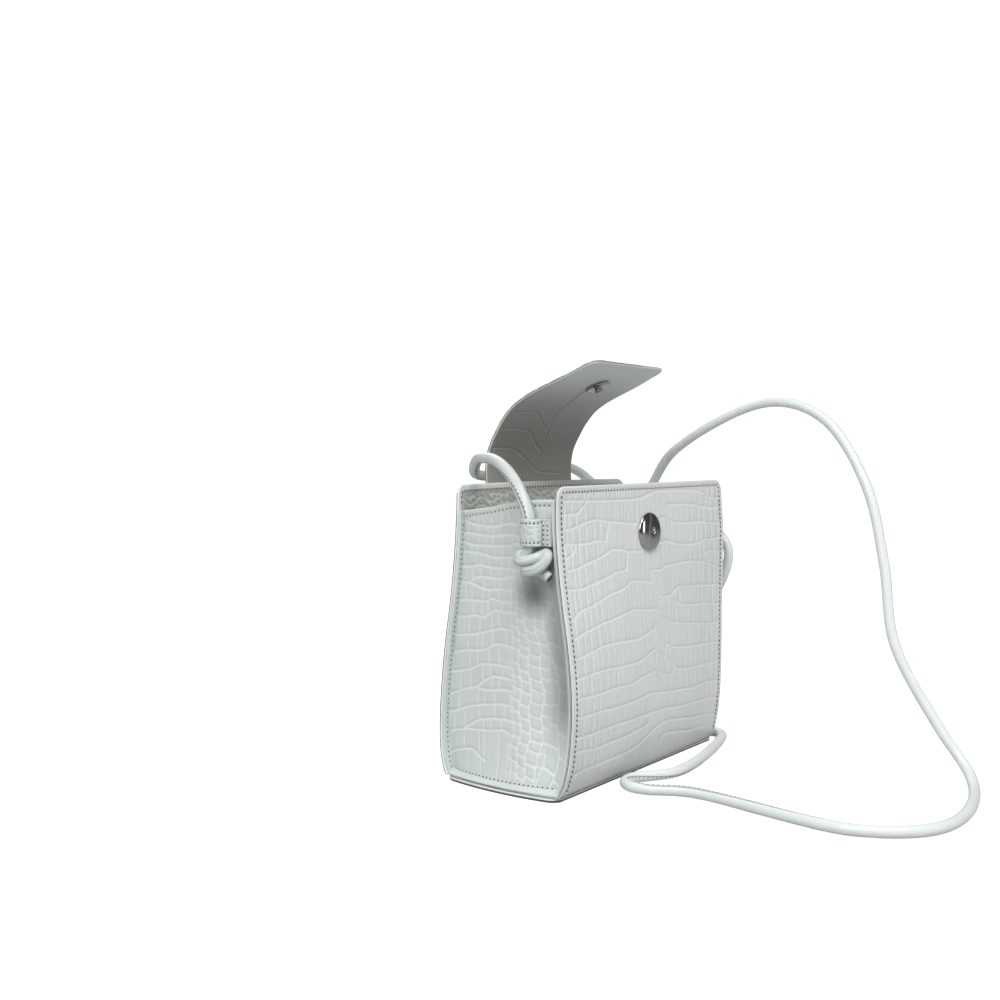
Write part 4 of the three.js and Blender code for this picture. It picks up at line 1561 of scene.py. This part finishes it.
# section of the loop: outside up, over the top, inside down, back under
def keeperSection(look, half):
    edge = look["round"]
    wall = look["wall"]
    out = [(0, high) for high in (edge - half, *np.linspace(1 - half, half - 1, 26), half - edge)]
    over = [(-edge, half), (edge - wall, half)]
    inside = [(-wall, high) for high in np.linspace(half - edge, edge - half, 8)]
    under = [(edge - wall, -half), (-edge, -half)]
    return np.array(out + over + inside + under + out[:1])


def addKeeperLoop(name, side, look, half, middle):
    section = keeperSection(look, half)
    around = np.linspace(0, 2 * math.pi, look["aroundSteps"] + 1)
    a, k = np.meshgrid(around, np.arange(len(section)))
    deep = section[k, 0]
    high = section[k, 1]
    seamAway = np.abs(np.abs(high) - half + look["seamIn"])
    outside = deep > -0.05
    swell = look["crown"] * (1 - (high / half) ** 2) - look["seamDeep"] * bell(seamAway, 0.7)
    crease = bell(awayFromCells(a * 6 + 3, high + 20, *look["creaseSize"], 12), 0.5) * outside
    deep = deep + swell * outside - look["creaseDeep"] * crease
    x = (look["halfOut"] + deep) * np.cos(a)
    y = (look["halfDeep"] + deep) * np.sin(a)
    points = np.stack([side * (look["x"] + x), look["y"] + y, middle + high], 2)
    # the creases get the painted highlight colour
    return weld(layGrid(name, points, "keeper", {"groove": 0.5 * crease}))


# the tail that is sewn down on the side wall
def addKeeperTail(side, look, tall, place):
    deselect()
    bpy.ops.mesh.primitive_cube_add(size=1)
    tail = bpy.context.object
    tail.data.transform(Matrix.Diagonal((look["tailThick"] * mm, look["tailLong"] * mm, tall * mm, 1)))
    inEditMode(tail)
    bpy.ops.mesh.subdivide(number_cuts=5)
    leaveEditMode(tail)
    bevel = tail.modifiers.new("edge", "BEVEL")
    bevel.width = look["tailBevel"] * mm
    bevel.segments = 3
    bevel.limit_method = "ANGLE"
    bpy.ops.object.modifier_apply(modifier="edge")
    turn = Matrix.Rotation(look["turn"], 4, "Z")
    tail.data.transform(Matrix.Diagonal((side, 1, 1, 1)) @ Matrix.Translation(Vector(place) * mm) @ turn)
    tail.data.materials.append(finishes["keeper"])
    marks = tail.data.attributes.new("groove", "FLOAT", "POINT")
    marks.data.foreach_set("value", np.zeros(len(tail.data.vertices), np.float32))
    inEditMode(tail)
    return leaveEditMode(tail)


# sewn rows: two across the loop, two down the tail
def keeperRuns(side, look, half, middle, place):
    runs = []
    bend = np.linspace(*look["seamBend"], 24)
    for high in (half - look["seamIn"], look["seamIn"] - half):
        x = look["x"] + (look["halfOut"] - look["seamSink"]) * np.cos(bend)
        y = look["y"] + (look["halfDeep"] - look["seamSink"]) * np.sin(bend)
        path = np.stack([side * x, y, 0 * bend + middle + high], 1)
        runs.append((path, np.stack([side * np.cos(bend), np.sin(bend), 0 * bend], 1)))
    high = np.linspace(1.2 - half, half - 1.2, 12)
    c = math.cos(look["turn"])
    s = math.sin(look["turn"])
    face = look["tailThick"] / 2
    for along in look["tailRows"]:
        x = place[0] + face * c + along * s + 0 * high
        y = place[1] + face * s - along * c + 0 * high
        path = np.stack([side * x, y, middle + high], 1)
        runs.append((path, np.tile([side * c, s, 0], (len(high), 1))))
    return runs


def addKeeper(word, side, look):
    name = "keeper_" + word
    tall = look["top"] - look["bottom"]
    middle = (look["top"] + look["bottom"]) / 2
    loop = addKeeperLoop(name + "_leather", side, look, tall / 2, middle)
    back = look["tailThick"] / 2 - look["halfOut"] + look["tailSink"]
    shift = look["tailLong"] / 4 - look["halfDeep"] - look["tailLong"] / 2
    place = (look["x"] + back, look["y"] + shift, middle)
    joinPieces(loop, addKeeperTail(side, look, tall, place))
    belongs(loop, "leather", name)
    sew(name + "_stitching", keeperRuns(side, look, tall / 2, middle, place), **look["stitch"])


knotLook = {
    "x": 87.5,
    "y": -25.2,
    "z": 125,
    "radius": 2.95,
    "step": 0.5,
    "ribs": 5,
    "ribWide": 0.3,
    "ribDeep": 0.5,
    # strength of the painted shade in the rib grooves
    "ribShade": 0.35,
    "endRound": (0.8, 0.7),
    # the knotted strand: to the front, outwards, up
    "strand": [
        (-2.6, 0, 10), (-3, 0.2, 5.9), (-6.2, 3.4, 4.4), (-4.4, 6.4, 1.8), (1.3, 3.4, 2.4),
        (4.4, -1, 4), (6.9, -2.4, 5.2), (7.9, -0.6, 2.8), (6.5, 1.9, -0.6), (3, 4.5, -3.2),
        (-1.5, 4.5, -3.6), (-3.1, 1.2, -3), (-0.2, -1.4, -3.2), (4.2, -2.8, -5), (8, -3.6, -7.8),
    ],
}


def addKnot(word, side, look):
    name = "knot_" + word
    front, out, up = np.array(look["strand"]).T
    route = np.stack([side * (look["x"] + out), look["y"] - front, look["z"] + up], 1)
    path = smoothRoute(route, look["step"])
    sides, others = sideDirections(path)
    angles = np.linspace(0, 2 * math.pi, 33)
    ribs = np.abs(np.sin(look["ribs"] / 2 * angles))[None, :]
    along = np.arange(len(path))[:, None]
    groove = bell(ribs, look["ribWide"]) * (0.6 + 0.4 * np.sin(along / 11))
    left = look["step"] * (len(path) - 1 - along)
    radius = look["radius"] - look["ribDeep"] * groove - edgeDrop(left, *look["endRound"])
    points = tubePoints(path, sides, others, angles, radius)
    # painted shade in the ribs and a darker cut end
    marks = {"groove": 0 * radius, "paintedShade": np.maximum(look["ribShade"] * groove, bell(left, 0.3))}
    piece = layGrid(name + "_leather", points, "knot", marks)
    closeTube(piece)
    belongs(piece, "strap", name)


for word, side in (("left", -1), ("right", 1)):
    addKeeper(word, side, keeperLook)
    addKnot(word, side, knotLook)
print("keepers and knots done")

# profiles of the turned halves: radius, height above the leather
snapLook = {
    "z": 137.3,
    "radius": 11.5,
    "share": 0.95,
    "seat": 0.45,
    "turnSteps": 56,
    "socket": [
        (0, 0), (11.2, 0), (11.5, 0.2), (11.5, 0.5), (11.25, 0.9), (10.7, 1.3), (9.7, 1.75), (8.2, 2.2),
        (6.4, 2.55), (4.6, 2.76), (3.2, 2.86), (2.4, 2.86), (2, 2.74), (1.8, 2.4), (1.7, 1.4),
        (1.5, 1.15), (0, 1.1),
    ],
    "stud": [
        (0, 0), (7.2, 0), (7.4, 0.2), (7.4, 0.6), (7.1, 0.95), (6.4, 1.1), (3.2, 1.12), (2.5, 1.2),
        (2.2, 1.6), (2.25, 2.2), (2.5, 2.8), (2.5, 3.2), (2.2, 3.6), (1.6, 3.78), (0, 3.8),
    ],
    # the stud's place on the flap's line, and the line's points before and after it: y, z
    "studAt": (-7, 222),
    "studFrom": (5, 217.6),
    "studTo": (-20, 227),
}


def addTurned(name, profile, place, axis, node):
    points = [(r * mm, 0, h * mm) for r, h in profile]
    piece = newPiece(name, points, [(k, k + 1) for k in range(len(points) - 1)], [])
    inEditMode(piece)
    bpy.ops.mesh.spin(steps=snapLook["turnSteps"], angle=2 * math.pi, axis=(0, 0, 1), center=(0, 0, 0))
    bpy.ops.mesh.select_all(action="SELECT")
    bpy.ops.mesh.remove_doubles(threshold=0.004 * mm)
    leaveEditMode(piece, 40)
    turn = Vector((0, 0, 1)).rotation_difference(Vector(axis)).to_matrix().to_4x4()
    piece.data.transform(Matrix.Translation(Vector(place) * mm) @ turn)
    piece.data.materials.append(finishes["metal"])
    belongs(piece, "snap_metal", node)


def addSnap(look):
    z = look["z"]
    r = look["radius"]
    run = float(frontY(r, z) - frontY(-r, z)) / (2 * r)
    rise = float(frontY(0, z + r) - frontY(0, z - r)) / (2 * r)
    axis = Vector((run, -1, rise)).normalized()
    place = Vector((0, float(frontY(0, z)), z)) + axis * look["seat"]
    socket = [(reach * look["share"], high) for reach, high in look["socket"]]
    addTurned("snap_socket_metal", socket, place, axis, "snap_socket")
    fromY, fromZ = look["studFrom"]
    toY, toZ = look["studTo"]
    down = -Vector((0, toZ - fromZ, fromY - toY)).normalized()
    spot = Vector((0, *look["studAt"])) + down * (flapLook["thick"] / 2 + flapLook["gap"])
    addTurned("snap_stud_metal", look["stud"], spot, down, "snap_stud")


addSnap(snapLook)
print("snap done")

# each light: name, place, aim, size across and down, energy
studio = {
    "fill": 0.44,
    "fillTint": (0.97, 0.985, 1, 1),
    "glossFill": 0.1,
    "backdrop": 1.1,
    "lights": [
        ("overhead", (-0.42, -0.78, 1.5), (0, -0.02, 0.08), (0.75, 0.75), 13.2),
        ("left", (-1.08, -0.32, 0.84), (0, 0, 0.06), (0.7, 0.7), 7.9),
        ("right", (0.5, -1.6, 0.5), (0.03, -0.05, 0.13), (0.3, 0.8), 2.4),
        ("behind", (0.9, 1.1, 1.2), (0, 0, 0.09), (1.0, 1.0), 8),
    ],
    "floorSize": 16,
    "floorDrop": 0.0001,
    "floorGlow": 0.95,
    "paper": ((0.45, 0.45, 0.45, 1), (0.47, 0.47, 0.47, 1)),
    "paperScale": 30,
}


def addWorld(look):
    world = bpy.data.worlds.new("studio")
    bpy.context.scene.world = world
    world.use_nodes = True
    nodes = world.node_tree.nodes
    links = world.node_tree.links
    rays = nodes.new("ShaderNodeLightPath")
    fill = nodes["Background"]
    fill.inputs["Color"].default_value = look["fillTint"]
    fill.inputs["Strength"].default_value = look["fill"]
    shown = fill.outputs[0]
    # a dim room in reflections, plain white behind the bag
    for word, strength in (("Is Glossy Ray", look["glossFill"]), ("Is Camera Ray", look["backdrop"])):
        other = nodes.new("ShaderNodeBackground")
        other.inputs["Color"].default_value = (1, 1, 1, 1)
        other.inputs["Strength"].default_value = strength
        mixed = nodes.new("ShaderNodeMixShader")
        links.new(rays.outputs[word], mixed.inputs[0])
        links.new(shown, mixed.inputs[1])
        links.new(other.outputs[0], mixed.inputs[2])
        shown = mixed.outputs[0]
    links.new(shown, nodes["World Output"].inputs[0])


def addFloor(look):
    deselect()
    bpy.ops.mesh.primitive_plane_add(size=look["floorSize"], location=(0, 0, -look["floorDrop"]))
    floor = bpy.context.object
    floor.name = "floor"
    paper = Finish("floorPaper")
    rays = paper.node("ShaderNodeLightPath", {}, {}, "Is Camera Ray")
    speck = paper.noise(paper.place(), look["paperScale"])
    paper.set(
        Base_Color=paper.mix(*look["paper"], speck),
        Roughness=0.9,
        Emission_Color=paper.mix((0, 0, 0, 1), (1, 1, 1, 1), rays),
        Emission_Strength=look["floorGlow"],
    )
    floor.data.materials.append(paper.material)


def addStudio(look):
    bpy.context.scene.view_settings.view_transform = "Standard"
    addWorld(look)
    for name, place, aim, size, energy in look["lights"]:
        turn = (Vector(aim) - Vector(place)).to_track_quat("-Z", "Y").to_euler()
        bpy.ops.object.light_add(type="AREA", location=place, rotation=turn)
        light = bpy.context.object
        light.name = name
        light.data.energy = energy
        light.data.shape = "RECTANGLE"
        light.data.size, light.data.size_y = size
    addFloor(look)


addStudio(studio)
print("studio lit")
